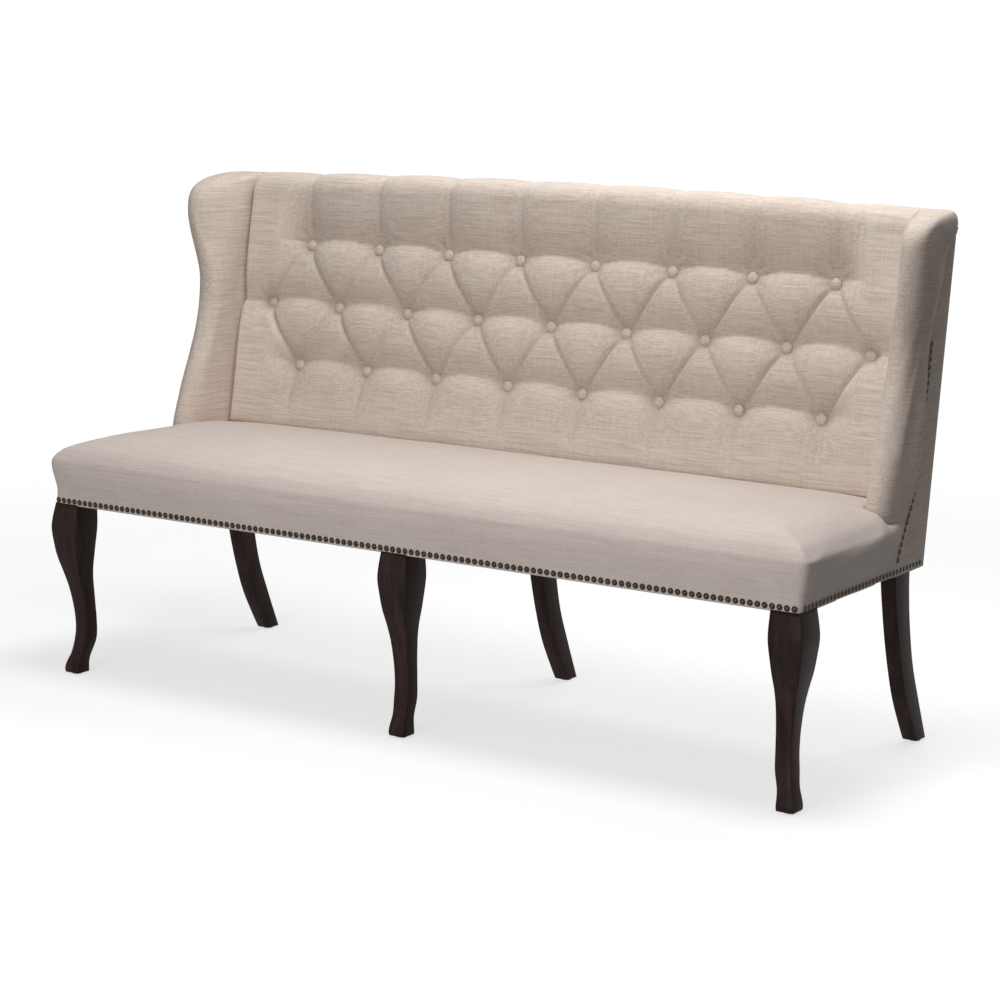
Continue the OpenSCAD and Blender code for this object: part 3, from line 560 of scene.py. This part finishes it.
seat = make(seat_outline(), "seat_pad", SEAT_LINEN_PAINTED_LIGHT, ["seat_cover", "seat_foam"],
            [("REMESH", {"mode": "VOXEL", "voxel_size": 8 * MM})])
apply_modifiers(seat)
shape_seat(seat.data)
print("seat skin:", len(seat.data.vertices), "points")

# %% [markdown]
# `swell` is the padding itself. A pressure pushes the skin out, the cloth resists, and a cap keeps
# every point within a few millimetres of where it started. Points whose weight is 1 are tacked.

# %% Cloth that swells


def swell(piece, held, pressure, cap, frames=14):
    """held(point in mm) is how firmly a point is tacked, from 0 to 1."""
    start = [vert.co.copy() for vert in piece.data.vertices]
    weights = [held(*point_mm(old)) for old in start]
    group = piece.vertex_groups.new(name="tacked")
    for index, weight in enumerate(weights):
        group.add([index], weight, "REPLACE")
    modifier = piece.modifiers.new("Cloth", "CLOTH")
    settings = modifier.settings
    settings.vertex_group_mass = group.name
    settings.use_pressure = True
    settings.uniform_pressure_force = pressure
    settings.effector_weights.gravity = 0
    settings.tension_stiffness = 12
    settings.compression_stiffness = 12
    settings.shear_stiffness = 8
    settings.bending_stiffness = 0.6
    settings.quality = 4
    settings.mass = 0.3
    modifier.collision_settings.use_collision = False
    scene = bpy.context.scene
    modifier.point_cache.frame_start = 1
    modifier.point_cache.frame_end = frames
    for number in range(1, frames + 1):
        scene.frame_set(number)
    apply_modifiers(piece)
    scene.frame_set(1)
    moved = 0.0
    for vert, old in zip(piece.data.vertices, start):
        step = vert.co - old
        if step.length > cap * MM:
            step *= cap * MM / step.length
        moved = max(moved, step.length)
        vert.co = old + step
    bm = bmesh.new()
    bm.from_mesh(piece.data)
    loose = [vert for vert, weight in zip(bm.verts, weights) if weight < 1]
    for _ in range(4):
        bmesh.ops.smooth_vert(bm, verts=loose, factor=0.5,
                              use_axis_x=True, use_axis_y=True, use_axis_z=True)
    bm.to_mesh(piece.data)
    bm.free()
    print(piece.name, "swelled by up to", round(moved / MM, 1), "mm")


def seat_tacks(x, y, z):
    if z < 370 or y > SEAT_REAR - 12:
        return 1.0
    under_wing = side_x(y) - abs(x) < WING_INSIDE + 6 and y > 330
    return 0.9 if under_wing else 0.0


swell(seat, seat_tacks, 1.0, 3)
seat.modifiers.new("Smooth", "SUBSURF").levels = 1
seat.modifiers["Smooth"].render_levels = 1

# %% [markdown]
# ## The tufted back
# Diamond tufting pulls the cover into a grid of buttons and folds the spare cloth into pleats
# between them. Each diamond stands proud, its edges are the pleats. Above the top row the pleats
# run straight up and over the roll, and below the last row they fade before the seat.
# `relief` starts from the full height and takes away a valley along each row, a pleat along each
# diagonal or channel and a pit at each button. `dip` is the section of each such groove.

# %% Relief of the tufting
PITCH = 173.0
ROW_GAP = 121.0
ROW_Z = 712.0  # height of the middle row
BUTTON_IN = 47.0  # the buttons sit this far in front of the rear face
DEPTH = 29.0  # the pillows stand this far in front of the buttons
COL_EDGE = side_x(back_y(600)) - WING - 1
PER_COLUMN = 1 / math.hypot(1 / PITCH, 0.5 / ROW_GAP)  # mm between neighbouring pleats
END = 4.0  # last column with a button, counted from the middle


def fold(t, sharp):
    return abs(math.sin(math.pi * t)) ** sharp


def nearest_button(u, v):
    """Offset in mm from the nearest button."""
    offsets = []
    for row in (-1, 0, 1):
        shift = 0.0 if row == 0 else 0.5
        limit = END - shift
        column = min(max(round(u - shift) + shift, -limit), limit)
        offsets.append(((u - column) * PITCH, (v - row) * ROW_GAP))
    return min(offsets, key=lambda offset: math.hypot(*offset))


def row_line(u, row):
    """The valley along a row of buttons, arched up between them."""
    shift = 0.0 if row == 0 else 0.5
    return row + 12.0 / ROW_GAP * fold(u - shift, 1.0) * ease(END + 0.1, END - 0.4, abs(u))


def dip(distance, width, power=2.0):
    return math.exp(-((abs(distance) / width) ** power))


def last_channel(u):
    """The channels above and below the buttons end before the wings."""
    return ease(3.9, 3.6, abs(u))


def relief(x, v):
    """Height of the cover over the button plane in mm, and its painted crease shade, 0 to 1."""
    u = x / PITCH
    below = 0.0
    high, middle, low = row_line(u, 1), row_line(u, 0), row_line(u, -1)
    within = 1 - ease(3.55, 3.95, abs(u))
    channel = (u + 0.5 - round(u + 0.5)) * PITCH
    last = last_channel(u)
    if v >= high:
        rise = (v - high) * ROW_GAP
        fade = ease(15, 120, rise)
        wide = 0.32 * dip(channel, 30, 1.4) * (1 - 0.35 * fade)
        tight = 0.12 * dip(channel, 4.5) * (1 - 0.5 * fade)
        face = 1 - 0.74 * within * dip(rise, 70, 1.3) - last * (wide + tight)
    elif v <= low:
        fall = (low - v) * ROW_GAP
        # Painted shade: the cloth under the last row gets darker towards the seat.
        below = 0.3 * ease(5, 60, fall)
        fade = ease(10, 125, fall)
        groove = (0.32 * dip(channel, 26, 1.4) + 0.15 * dip(channel, 4.5)) * (1 - fade)
        face = 1 - 0.55 * within * dip(fall, 14, 1.1) - last * groove
    else:
        top, foot = (high, middle) if v > middle else (middle, low)
        span = (top - foot) * ROW_GAP
        fall, rise = (top - v) * ROW_GAP, (v - foot) * ROW_GAP
        outside, centre = 0.50 * within, 0.38 + 0.12 * within
        top_valley, foot_valley = (outside, centre) if v > middle else (centre, outside)
        face = 1 - top_valley * dip(fall, 13, 1.1) - 1.3 * foot_valley * dip(rise, 56, 1.4)
        face += 0.05 * math.sin(math.pi * min(fall / span, 1))
        s, t = u + v / 2, u - v / 2
        ds, dt = (s - round(s)) * PER_COLUMN, (t - round(t)) * PER_COLUMN
        inside = ease(END - abs(v) / 2 + 0.10, END - abs(v) / 2, abs(u))
        falling = 1.1 - 0.6 * ease(-3.5, 3.5, u)
        rising = 1.6 - falling
        wide = 0.20 * (falling * dip(ds, 20, 1.3) + rising * dip(dt, 20, 1.3))
        tight = 0.25 * (falling * dip(ds, 3.4) + rising * dip(dt, 3.4))
        uneven = noise.noise(Vector((round(s) * 1.7, round(t) * 2.3, v)))
        pull = 0.5 + 0.7 * rise / (span + 0.01) + 0.5 * uneven
        face -= (wide + tight * pull) * inside
    dx, dz = nearest_button(u, v)
    reach = math.hypot(dx, dz)
    pit = dip(reach, 16, 3.0)
    funnel = 0.45 * dip(reach, 34, 1.3)
    pucker = 0.9 * math.cos(9 * math.atan2(dz, dx) + u * 3) * dip(reach - 26, 14)
    proud = max(face, 0.12) * (1 - pit) * (1 - funnel)
    edge = ease(COL_EDGE, COL_EDGE - 16, abs(x))
    # The second value is painted shade: dark where the cover is pulled in, and below the last row.
    return (DEPTH * proud + pucker) * (0.2 + 0.8 * edge), 1 - proud + below


print("relief at a button, on a pleat and on a pillow:",
      [round(relief(x, v)[0], 1) for x, v in ((0, 0), (PITCH / 4, 0.5), (0, 0.5))])

# %% [markdown]
# The cover is one sheet. A flat grid is bent along the path that the cloth takes: up the front,
# over the roll and down behind the top rail. The relief pushes it out along the path's normal.

# %% Sheet over the back
FOOT_Z = 442.0
ROLL_R = 22.0
ROLL_PAD = 17.5
REAR_EDGE = TOP_Z - 52
LEAN_ANGLE = math.atan(LEAN)


def arch(x):
    return 13.0 * (x / COL_EDGE) ** 2


def back_point(x, s):
    """Point of the cover at s mm along its path from the foot, and its painted crease shade."""
    sine, cosine = math.sin(LEAN_ANGLE), math.cos(LEAN_ANGLE)
    along = Vector((0, sine, cosine))
    out = Vector((0, -cosine, sine))
    straight = (TOP_Z - arch(x) - ROLL_R - ROLL_PAD - FOOT_Z) / cosine
    foot = Vector((0, back_y(FOOT_Z) - BUTTON_IN, FOOT_Z))
    z = FOOT_Z + s * cosine
    wave = noise.noise(Vector((x / 90, s / 70, 1.7))) * 1.2
    height, crease = relief(x, (z - ROW_Z) / ROW_GAP)
    if s <= straight:
        return foot + along * s + out * (height + wave) * ease(450, 466, z), crease
    turn = min((s - straight) / ROLL_R, math.pi)
    down = max(s - straight - math.pi * ROLL_R, 0)
    centre = foot + along * straight - out * ROLL_R
    normal = out * math.cos(turn) + along * math.sin(turn)
    over = ease(0, 1.4, turn)
    scallop = 4.5 * (1 - fold(x / PITCH + 0.5, 0.6)) * last_channel(x / PITCH)
    height = (height * (1 - over) + over * (19 - scallop)) * (1 - ease(1.4, 2.9, turn))
    point = centre + normal * (ROLL_R + height + wave * 0.5) - along * down
    # The painted crease shade fades out as the cloth turns over the roll.
    return point, crease * (1 - ease(0, 1, turn))


def tufted_sheet(columns=380, rows=185):
    bm = bmesh.new()
    # This layer holds the painted crease shade of each point.
    layer = bm.verts.layers.float.new("crease")
    bmesh.ops.create_grid(bm, x_segments=columns, y_segments=rows, size=1.0)
    straight = (TOP_Z - ROLL_R - ROLL_PAD - FOOT_Z) / math.cos(LEAN_ANGLE)
    length = straight + math.pi * ROLL_R + 12
    for vert in bm.verts:
        share = vert.co.x
        point, vert[layer] = back_point(share * COL_EDGE, (vert.co.y + 1) / 2 * length)
        vert.co = at((side_x(point.y) - WING + 1) * share, point.y, point.z)
    rim = [edge for edge in bm.edges if edge.is_boundary]
    lip = bmesh.ops.extrude_edge_only(bm, edges=rim)["geom"]
    for vert in [g for g in lip if isinstance(g, bmesh.types.BMVert)]:
        z = min(vert.co.z / MM, REAR_EDGE)
        vert.co = at(vert.co.x / MM, back_y(z) - 36, z)
    bmesh.ops.holes_fill(bm, edges=[edge for edge in bm.edges if edge.is_boundary], sides=0)
    outward(bm)
    return bm


back = make(tufted_sheet(), "tufted_back", TUFTED_LINEN, ["back_cushion"])

# %% [markdown]
# ## Covered buttons
# A covered button is a domed shell with the same cloth pressed round it, so its rim is soft and
# slightly puckered. Half a profile is spun round its axis, then set square to the leaning back.

# %% Covered buttons


def button_shape(bm, place, turn):
    profile = [(0, 5.6), (3, 5.4), (6, 4.8), (8.6, 3.7), (10.3, 2.3), (10.8, 1.1), (10, 0)]
    made = [bm.verts.new(Vector((r, 0, h)) * MM) for r, h in profile]
    edges = [bm.edges.new(pair) for pair in zip(made, made[1:])]
    bmesh.ops.spin(bm, geom=made + edges, cent=(0, 0, 0), axis=(0, 0, 1), steps=28,
                   angle=math.tau, use_merge=True, use_duplicate=False)
    grown, front = set(made), set(made)
    while front:
        front = {o for v in front for e in v.link_edges for o in e.verts} - grown
        grown |= front
    for vert in grown:
        angle = math.atan2(vert.co.y, vert.co.x)
        rim = ease(6 * MM, 10 * MM, math.hypot(vert.co.x, vert.co.y))
        vert.co.z += 0.25 * MM * rim * math.sin(9 * angle + turn * 5)
    bmesh.ops.transform(bm, verts=list(grown), matrix=place @ Matrix.Rotation(turn, 4, "Z"))


def all_buttons():
    bm = bmesh.new()
    shuffle = random.Random(3)
    for row in (-1, 0, 1):
        count = 9 if row == 0 else 8
        for index in range(count):
            x = (index - (count - 1) / 2) * PITCH
            z = ROW_Z + row * ROW_GAP
            place = Matrix.Translation(at(x, back_y(z) - BUTTON_IN - 0.5, z))
            tilt = Matrix.Rotation(math.pi / 2 - LEAN_ANGLE, 4, "X")
            wobble = Matrix.Rotation(shuffle.uniform(-0.06, 0.06), 4, "X")
            button_shape(bm, place @ tilt @ wobble, shuffle.uniform(0, 6))
    bmesh.ops.remove_doubles(bm, verts=bm.verts, dist=0.01 * MM)
    outward(bm)
    return bm


make(all_buttons(), "covered_buttons", LINEN, ["tuft_buttons"])

# %% [markdown]
# ## Wings
# A wing is a plywood board with a thick roll of padding round its front edge. Level outlines give
# its shape at each height, and bridging them is the quickest way to a form that changes all the
# way up: slim at the waist, fuller and turned outwards at the top. Up to `EAR_Z` the outline ends
# behind the nail line, where the side panel takes over, and above it goes round the rear corner.

# %% Outline of a wing
WING_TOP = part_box("left_wing_pad")[1].z / MM
EAR_Z = 921.0
CROWN = 22  # the last mm in which a wing rounds over at its top


def wing_outline(z):
    """Outline at a height, in mm across the side plane and along the side."""
    front = curve(WING_FRONT, z)
    radius = WING / 2
    near_top = max(1 - (WING_TOP - z) / CROWN, 0)
    shrink = 17 * (1 - math.sqrt(1 - near_top**2 * 0.98))
    lean = 21 * ease(750, WING_TOP - 70, z) - 4 * math.exp(-(((z - 630) / 85) ** 2))
    bow = 3.0 + 2.5 * ease(700, 900, z)
    puff = 10.5 * ease(440, 505, z) * (1 - ease(610, 720, z)) + 1.5
    ear = 3 * ease(WING_TOP - 58, WING_TOP - 34, z)
    line = curve(NAIL_LINE, z)
    rear = back_y(z) - (1 if z > EAR_Z else 35)
    if z > WING_TOP - 32:
        rear -= 30 * (1 - math.sqrt(1 - ((z - WING_TOP + 32) / 32.5) ** 2))
    out_rear = min(max(line, front + radius + 44), rear - 14)
    under, rear_out, corner = 0.0, rear - 4, rear - 1
    if z < EAR_Z:
        under, rear_out, corner = 2.6, line + 12, line + 12
        out_rear = min(out_rear, line - 1)
    inside = -WING - 3 + 0.1 * shrink
    points = [(inside, rear - 2), (inside, rear - 14), (inside, (front + rear) / 2 + 24),
              (-WING + shrink, front + radius + 30)]
    round_out = min(1.4 * radius, 0.46 * (out_rear - front)) - shrink
    for step in range(11):
        angle = math.radians(180 + 18 * step)
        depth = radius - shrink if step < 5 else round_out
        outer = ease(4, 8, step)
        shift = lean + outer * (max(lean, 0) - lean + 1.2)
        points.append((-radius + shift + (radius - shrink) * math.cos(angle),
                       front + shrink + depth * (1 + math.sin(angle))))
    spread = 0.35 + 0.3 * ease(905, 940, z)
    out_front = points[-1][1]
    flank = out_rear - out_front
    last = (bow + puff) * 0.66 - shrink + ear + lean * (spread - 0.25) - under * 0.4
    points += [(bow - shrink + lean * 0.85, out_front + 0.35 * flank),
               (bow + puff - shrink + lean * spread, out_front + 0.75 * flank),
               (last, out_rear), (-shrink + ear - under, rear_out),
               (-shrink * 0.5 + ear - 7, corner), (-WING + 11, rear - 2)]
    return points


def side_point(side, across, along, z):
    """From the side plane of the bench, which narrows to the rear, to the whole bench."""
    angle = math.atan(TAPER)
    x = HALF_FRONT + across * math.cos(angle) - along * math.sin(angle)
    y = across * math.sin(angle) + along * math.cos(angle)
    return at(side * x, y, z)


# %% [markdown]
# The levels stand closer together near the top, where the outline changes faster. Each wing then
# swells as the seat does, tacked along its foot and its nail line, and two small pleats are
# pressed in where the cloth turns over the rear top corner.

# %% Wings from level outlines


def wing_shape(side):
    bm = bmesh.new()
    levels = [416 + 26 * i for i in range(18)] + [885, 905] + [922 + 4 * i for i in range(8)]
    levels += [957, 963, 968, 972, WING_TOP - 0.5]
    loft(bm, [[side_point(side, *pair, z) for pair in wing_outline(z)] for z in levels])
    outward(bm)
    return bm


def ear_pleat(point, side):
    """Depth in mm of the two small pleats."""
    x, y, z = point_mm(point)
    behind = (y - back_y(z) + 22) / 18
    upper = dip(z - WING_TOP + 31 + 6 * behind**2, 2.6)
    lower = dip(z - WING_TOP + 47 - 4 * behind**2, 2.6)
    outer = 1.0 if side * x > side_x(back_y(z)) - 14 else 0.0
    return outer * (4.5 * upper + 3.2 * lower) * dip(behind, 1)


def wing_tacks(x, y, z):
    return 1.0 if z < 436 or y > curve(NAIL_LINE, z) - 14 else 0.0


for side, word in ((-1, "left"), (1, "right")):
    wing = make(wing_shape(side), f"{word}_padded_wing", LINEN, [f"{word}_wing_pad"],
                [("SUBSURF", {"levels": 2, "render_levels": 2})])
    apply_modifiers(wing)
    swell(wing, wing_tacks, 1.2, 3)
    for vert in wing.data.vertices:
        lift = noise.noise(vert.co / (55 * MM)) * 0.9 - ear_pleat(vert.co, side)
        vert.co += vert.normal * lift * MM

# %% [markdown]
# Behind its nail line each side is covered with cloth over board, almost flat. The outside back is
# the same, with a slight arch at its top and an edge that turns in under the roll. Both are grids
# that are moved to their outline, then given a thickness.

# %% Side panels and outside back
PANEL_TOP = 925


def side_panel(side):
    bm = bmesh.new()
    bmesh.ops.create_grid(bm, x_segments=10, y_segments=60, size=1.0)
    for vert in bm.verts:
        z = RAIL_Z + (vert.co.y + 1) / 2 * (PANEL_TOP - RAIL_Z)
        share = (vert.co.x + 1) / 2
        start = curve(NAIL_LINE, z) + 0.3
        along = start + (back_y(z) - start) * share
        puff = 1.4 * math.sin(math.pi * min(max(share, 0), 1)) ** 0.6
        vert.co = side_point(side, -0.2 + puff, along, z)
    bmesh.ops.solidify(bm, geom=bm.faces[:], thickness=2.5 * MM * side)
    outward(bm)
    return bm


def back_panel():
    bm = bmesh.new()
    bmesh.ops.create_grid(bm, x_segments=80, y_segments=40, size=1.0)
    for vert in bm.verts:
        share = vert.co.x
        top = TOP_Z - 32 - 0.45 * arch(share * COL_EDGE)
        z = RAIL_Z + (vert.co.y + 1) / 2 * (top - RAIL_Z)
        y = back_y(z)
        puff = 1.6 * (1 - abs(share) ** 8) * math.sin(math.pi * (vert.co.y + 1) / 2) ** 0.4
        over = ease(top - 14, top, z) * ease(1.0, 0.94, abs(share))
        vert.co = at((side_x(y) - 0.5) * share, y - 0.5 + puff - 7 * over, z + 5 * over)
    bmesh.ops.solidify(bm, geom=bm.faces[:], thickness=-3 * MM)
    outward(bm)
    return bm


for side, word in ((-1, "left"), (1, "right")):
    make(side_panel(side), f"{word}_side_panel", LINEN, [f"{word}_wing_panel"])
make(back_panel(), "back_panel", LINEN, ["outside_back"])

# %% [markdown]
# ## Nails
# The trim is a row of domed nails with an antique finish: dark in the recess, rubbed bright on the
# crown and the rim. A colour attribute keeps how far each point is from the rim, and the finish
# reads it.

# %% Nail finish


def nail_finish():
    material, tree, shader = new_material("Antique nail", {"Metallic": 1.0})
    spots = noise_node(tree, object_vector(tree), 260, 3.0)
    worn = math_node(tree, "ADD", spots, 0.35)
    mask = math_node(tree, "MULTIPLY", attribute(tree, "rubbed"), worn, clamp=True)
    colour = mix_colour(tree, mask, (0.008, 0.006, 0.005), (0.10, 0.08, 0.066))
    tree.links.new(colour, shader.inputs["Base Color"])
    tree.links.new(math_node(tree, "MULTIPLY_ADD", spots, 0.25, 0.22), shader.inputs["Roughness"])
    return material


NAIL = nail_finish()

# %% [markdown]
# A nail head is a circle of edges that is extruded inwards and upwards three times and closed.
# The rows of nails keep one pitch along the rails and, measured along the curve, up each wing.

# %% Nail heads
NAIL_R = 5.7
NAIL_RISE = 3.4
NAIL_PITCH = 14
NAIL_END_Z = 755  # the row up a wing ends here


def nail(bm, layer, place):
    verts = bmesh.ops.create_circle(bm, segments=12, radius=NAIL_R * MM, cap_ends=False)["verts"]
    edges = list({e for v in verts for e in v.link_edges})
    rows = [verts]
    for share, rise in ((0.96, 0.3), (0.72, 0.72), (0.38, 0.94)):
        grown = bmesh.ops.extrude_edge_only(bm, edges=edges)["geom"]
        verts = [g for g in grown if isinstance(g, bmesh.types.BMVert)]
        edges = [g for g in grown if isinstance(g, bmesh.types.BMEdge)
                 and all(v in verts for v in g.verts)]
        for vert in verts:
            flat = Vector((vert.co.x, vert.co.y, 0)).normalized() * NAIL_R * share
            vert.co = Vector((flat.x, flat.y, rise * NAIL_RISE)) * MM
        rows.append(verts)
    bmesh.ops.contextual_create(bm, geom=edges)
    for row, rubbed in zip(rows, (1.0, 1.0, 0.1, 0.55)):
        for vert in row:
            vert[layer] = rubbed
    bmesh.ops.transform(bm, verts=[v for row in rows for v in row], matrix=place)


def nail_row(places):
    bm = bmesh.new()
    layer = bm.verts.layers.float.new("rubbed")
    for point, axis, quarter in places:
        turn = Matrix.Rotation(quarter * math.pi / 2, 4, axis)
        nail(bm, layer, Matrix.Translation(point) @ turn)
    return bm


def rail_places():
    z = RAIL_Z + 6.5
    count = int((2 * HALF_FRONT - 24) // NAIL_PITCH)
    places = [(at((i - count / 2) * NAIL_PITCH, 0, z), "X", 1) for i in range(count + 1)]
    along = [i * NAIL_PITCH for i in range(1, int((RAIL_D - 16) // NAIL_PITCH) + 1)]
    return places + [(side_point(side, 0, y, z), "Y", side) for side in (-1, 1) for y in along]


def wing_places():
    z, y, run = *NAIL_LINE[0], 0.0
    places = []
    while z < NAIL_END_Z:
        last_z, last_y, before = z, y, run
        z = last_z + 0.5
        y = curve(NAIL_LINE, z)
        run += math.hypot(z - last_z, y - last_y)
        if run // NAIL_PITCH > before // NAIL_PITCH and run > 27:
            places.append((y + 6.8, z))
    return [(side_point(side, 1.8, *place), "Y", side) for side in (-1, 1) for place in places]


make(nail_row(rail_places()), "rail_nail_trim", NAIL, ["rail_nails"])
make(nail_row(wing_places()), "wing_nail_trim", NAIL, ["wing_nails"])

# %% [markdown]
# ## Legs
# A cabriole leg is bandsawn from a square blank: one outline is cut, the blank is turned by a
# quarter, and the outline is cut again. So each level of the leg is a square or a rectangle whose
# sides are the two outlines there. A face is extruded down level by level and moved to them. Its
# four long edges are then eased as a spindle sander leaves them.

# %% Cabriole legs
LEG_H = 348
LEVELS = [LEG_H - 7.5 * i for i in range(46)] + [6, 3]
SET_BACK = 2.0  # the knees stand this far behind the cover
CAB_OUT = [(3, 9), (12, 8), (24, 10.5), (42, 17), (62, 21), (90, 24), (120, 23.2), (150, 19.9),
           (180, 14.9), (212, 7.2), (240, 0), (268, -4.2), (298, -7), (324, -4.3), (LEG_H, 0)]
CAB_IN = [(3, 43), (30, 44), (70, 54), (105, 55), (150, 53), (205, 51), (250, 54), (300, 58),
          (LEG_H, 58)]


def extruded_leg(sides, ease_by):
    """sides(z) gives the pair of x and the pair of y of the leg at a height."""
    bm = bmesh.new()
    bmesh.ops.create_grid(bm, x_segments=1, y_segments=1, size=1.0)
    face = bm.faces[:][0]
    order = {vert: (vert.co.x > 0, vert.co.y > 0) for vert in face.verts}

    def corner(key, z):
        xs, ys = sides(z)
        return at(xs[key[0]], ys[key[1]], z)

    for vert, key in order.items():
        vert.co = corner(key, LEVELS[0])
    for above, z in zip(LEVELS, LEVELS[1:]):
        keys = list(order.values())
        made = bmesh.ops.extrude_face_region(bm, geom=[face])["geom"]
        if above != LEVELS[0]:
            bmesh.ops.delete(bm, geom=[face], context="FACES_ONLY")
        face = next(g for g in made if isinstance(g, bmesh.types.BMFace))
        order = {vert: min(keys, key=lambda key: (corner(key, above) - vert.co).length)
                 for vert in face.verts}
        for vert, key in order.items():
            vert.co = corner(key, z)
    outward(bm)
    long_edges = [e for e in bm.edges if len(e.link_faces) == 2 and e.calc_face_angle(0) > 0.6
                  and abs(e.verts[0].co.z - e.verts[1].co.z) > 1 * MM]
    foot = [e for e in bm.edges if max(v.co.z for v in e.verts) < (LEVELS[-1] + 0.5) * MM]
    bevel(bm, long_edges + foot, ease_by, 3)
    return bm


def cabriole_leg(side):
    def sides(z):
        near, far = curve(CAB_OUT, z), curve(CAB_IN, z)
        half = (far - near) / 2
        x_start = HALF_FRONT - 2
        xs = (side * (x_start - near), side * (x_start - far)) if side else (-half, half)
        return xs, (SET_BACK + near, SET_BACK + far)

    return extruded_leg(sides, 2.2)


for side, word in ((-1, "left"), (0, "middle"), (1, "right")):
    make(cabriole_leg(side), f"{word}_cabriole_leg", ESPRESSO, [f"{word}_front_leg"])

# %% [markdown]
# The rear legs are sabre legs: boards of one thickness, cut to a curve that sweeps back so that
# the bench doesn't tip when someone leans on it.

# %% Sabre legs
HEEL_Y = 590.0
SABRE_T = 30.0
SABRE_Y = HEEL_Y - 96 - 50
SABRE_FRONT = [(3, HEEL_Y - 35), (24, HEEL_Y - 48), (90, SABRE_Y + 62), (150, SABRE_Y + 40),
               (210, SABRE_Y + 23), (265, SABRE_Y + 11), (310, SABRE_Y + 3), (LEG_H, SABRE_Y)]
SABRE_REAR = [(3, HEEL_Y), (40, HEEL_Y - 16), (80, HEEL_Y - 33), (154, SABRE_Y + 84),
              (236, SABRE_Y + 66), (300, SABRE_Y + 59), (LEG_H, SABRE_Y + 58)]


def sabre_leg(centre):
    xs = (centre - SABRE_T / 2, centre + SABRE_T / 2)
    return extruded_leg(lambda z: (xs, (curve(SABRE_FRONT, z), curve(SABRE_REAR, z))), 1.8)


sabre_x = side_x(RAIL_D) - 45
for word, centre in (("left", -sabre_x), ("middle", 0.0), ("right", sabre_x)):
    make(sabre_leg(centre), f"{word}_sabre_leg", ESPRESSO, [f"{word}_rear_leg"])

# %% [markdown]
# ## Floor, light and camera
# The floor is plain and pale. What the camera sees directly is close to white, while the light on
# the bench stays at a plain level, so that the cloth keeps its colour.

# %% Floor and world


def seen_directly(tree):
    path = tree.nodes.new("ShaderNodeLightPath").outputs
    seen = math_node(tree, "MAXIMUM", path["Is Camera Ray"], path["Is Glossy Ray"])
    return math_node(tree, "MAXIMUM", seen, path["Is Transmission Ray"])


def pale_floor():
    material, tree, shader = new_material("Pale floor", {
        "Roughness": 0.9, "Specular IOR Level": 0.0})
    distance = tree.nodes.new("ShaderNodeVectorMath")
    distance.operation = "LENGTH"
    tree.links.new(object_vector(tree), distance.inputs[0])
    far = math_node(tree, "MULTIPLY", distance.outputs["Value"], 0.2)
    far = ramp(tree, far, [(0.22, 0.0), (0.6, 1.0)])
    colour = mix_colour(tree, far, (0.46, 0.46, 0.46), (0, 0, 0))
    tree.links.new(colour, shader.inputs["Base Color"])
    glow = tree.nodes.new("ShaderNodeEmission")
    strength = math_node(tree, "MULTIPLY_ADD", far, 0.34, 0.68)
    strength = math_node(tree, "MULTIPLY", seen_directly(tree), strength)
    tree.links.new(strength, glow.inputs["Strength"])
    both = tree.nodes.new("ShaderNodeAddShader")
    tree.links.new(shader.outputs[0], both.inputs[0])
    tree.links.new(glow.outputs[0], both.inputs[1])
    tree.links.new(both.outputs[0], tree.nodes["Material Output"].inputs["Surface"])
    return material


def add_floor():
    bm = bmesh.new()
    bmesh.ops.create_grid(bm, x_segments=1, y_segments=1, size=30.0)
    new_object("floor", new_mesh(bm, "floor", pale_floor()))


def add_world():
    world = bpy.data.worlds.new("Studio")
    bpy.context.scene.world = world
    world.use_nodes = True
    tree = world.node_tree
    strength = math_node(tree, "MULTIPLY_ADD", seen_directly(tree), 0.86, 0.14)
    background = tree.nodes["Background"]
    background.inputs["Color"].default_value = (1, 1, 1, 1)
    tree.links.new(strength, background.inputs["Strength"])


add_floor()
add_world()
print("floor and world made")

# %% [markdown]
# In the photograph the level parts are bright and the upright ones are even, with a soft shade
# over every row of buttons. So the main lamp hangs straight above, a wide one in front fills the
# upright faces, and one behind lifts the roll at the top.

# %% Lamps


def lamp(name, place, target, size, power):
    data = bpy.data.lights.new(name, "AREA")
    data.shape = "RECTANGLE"
    data.size, data.size_y = size
    data.energy = power
    light = new_object(name, data)
    light.location = place
    light.rotation_euler = (Vector(target) - Vector(place)).to_track_quat("-Z", "Y").to_euler()
    print(name, "at", place)


lamp("key lamp", (0.45, -0.2, 3.1), (0.1, 0.1, 0.6), (1.3, 0.9), 46)
lamp("fill lamp", (0.4, -4.4, 0.9), (0, 0, 0.6), (2.4, 1.4), 74)
lamp("rim lamp", (0.4, 1.2, 2.6), (0.2, 0.2, 0.9), (2.4, 0.8), 20)

# %% [markdown]
# The camera stands where the photograph was taken from: about five metres away, to the right of
# the bench, a little above its back. The lens is long, which keeps the far end large.

# %% Camera


def camera():
    data = bpy.data.cameras.new("camera")
    data.sensor_width = 36
    data.lens = 99.965
    data.shift_x = -0.0093
    data.shift_y = -0.0134
    data.clip_end = 100
    piece = new_object("camera", data)
    yaw, pitch, roll = math.radians(34.735), math.radians(10.001), math.radians(0.519)
    turn = Matrix.Rotation(yaw, 4, "Z") @ Matrix.Rotation(math.pi / 2 - pitch, 4, "X")
    place = Matrix.Translation(at(2974.7, -3922.5, 1339.0))
    piece.matrix_world = place @ turn @ Matrix.Rotation(roll, 4, "Z")
    bpy.context.scene.camera = piece


camera()
bpy.context.scene.view_settings.view_transform = "Standard"
print("camera set")
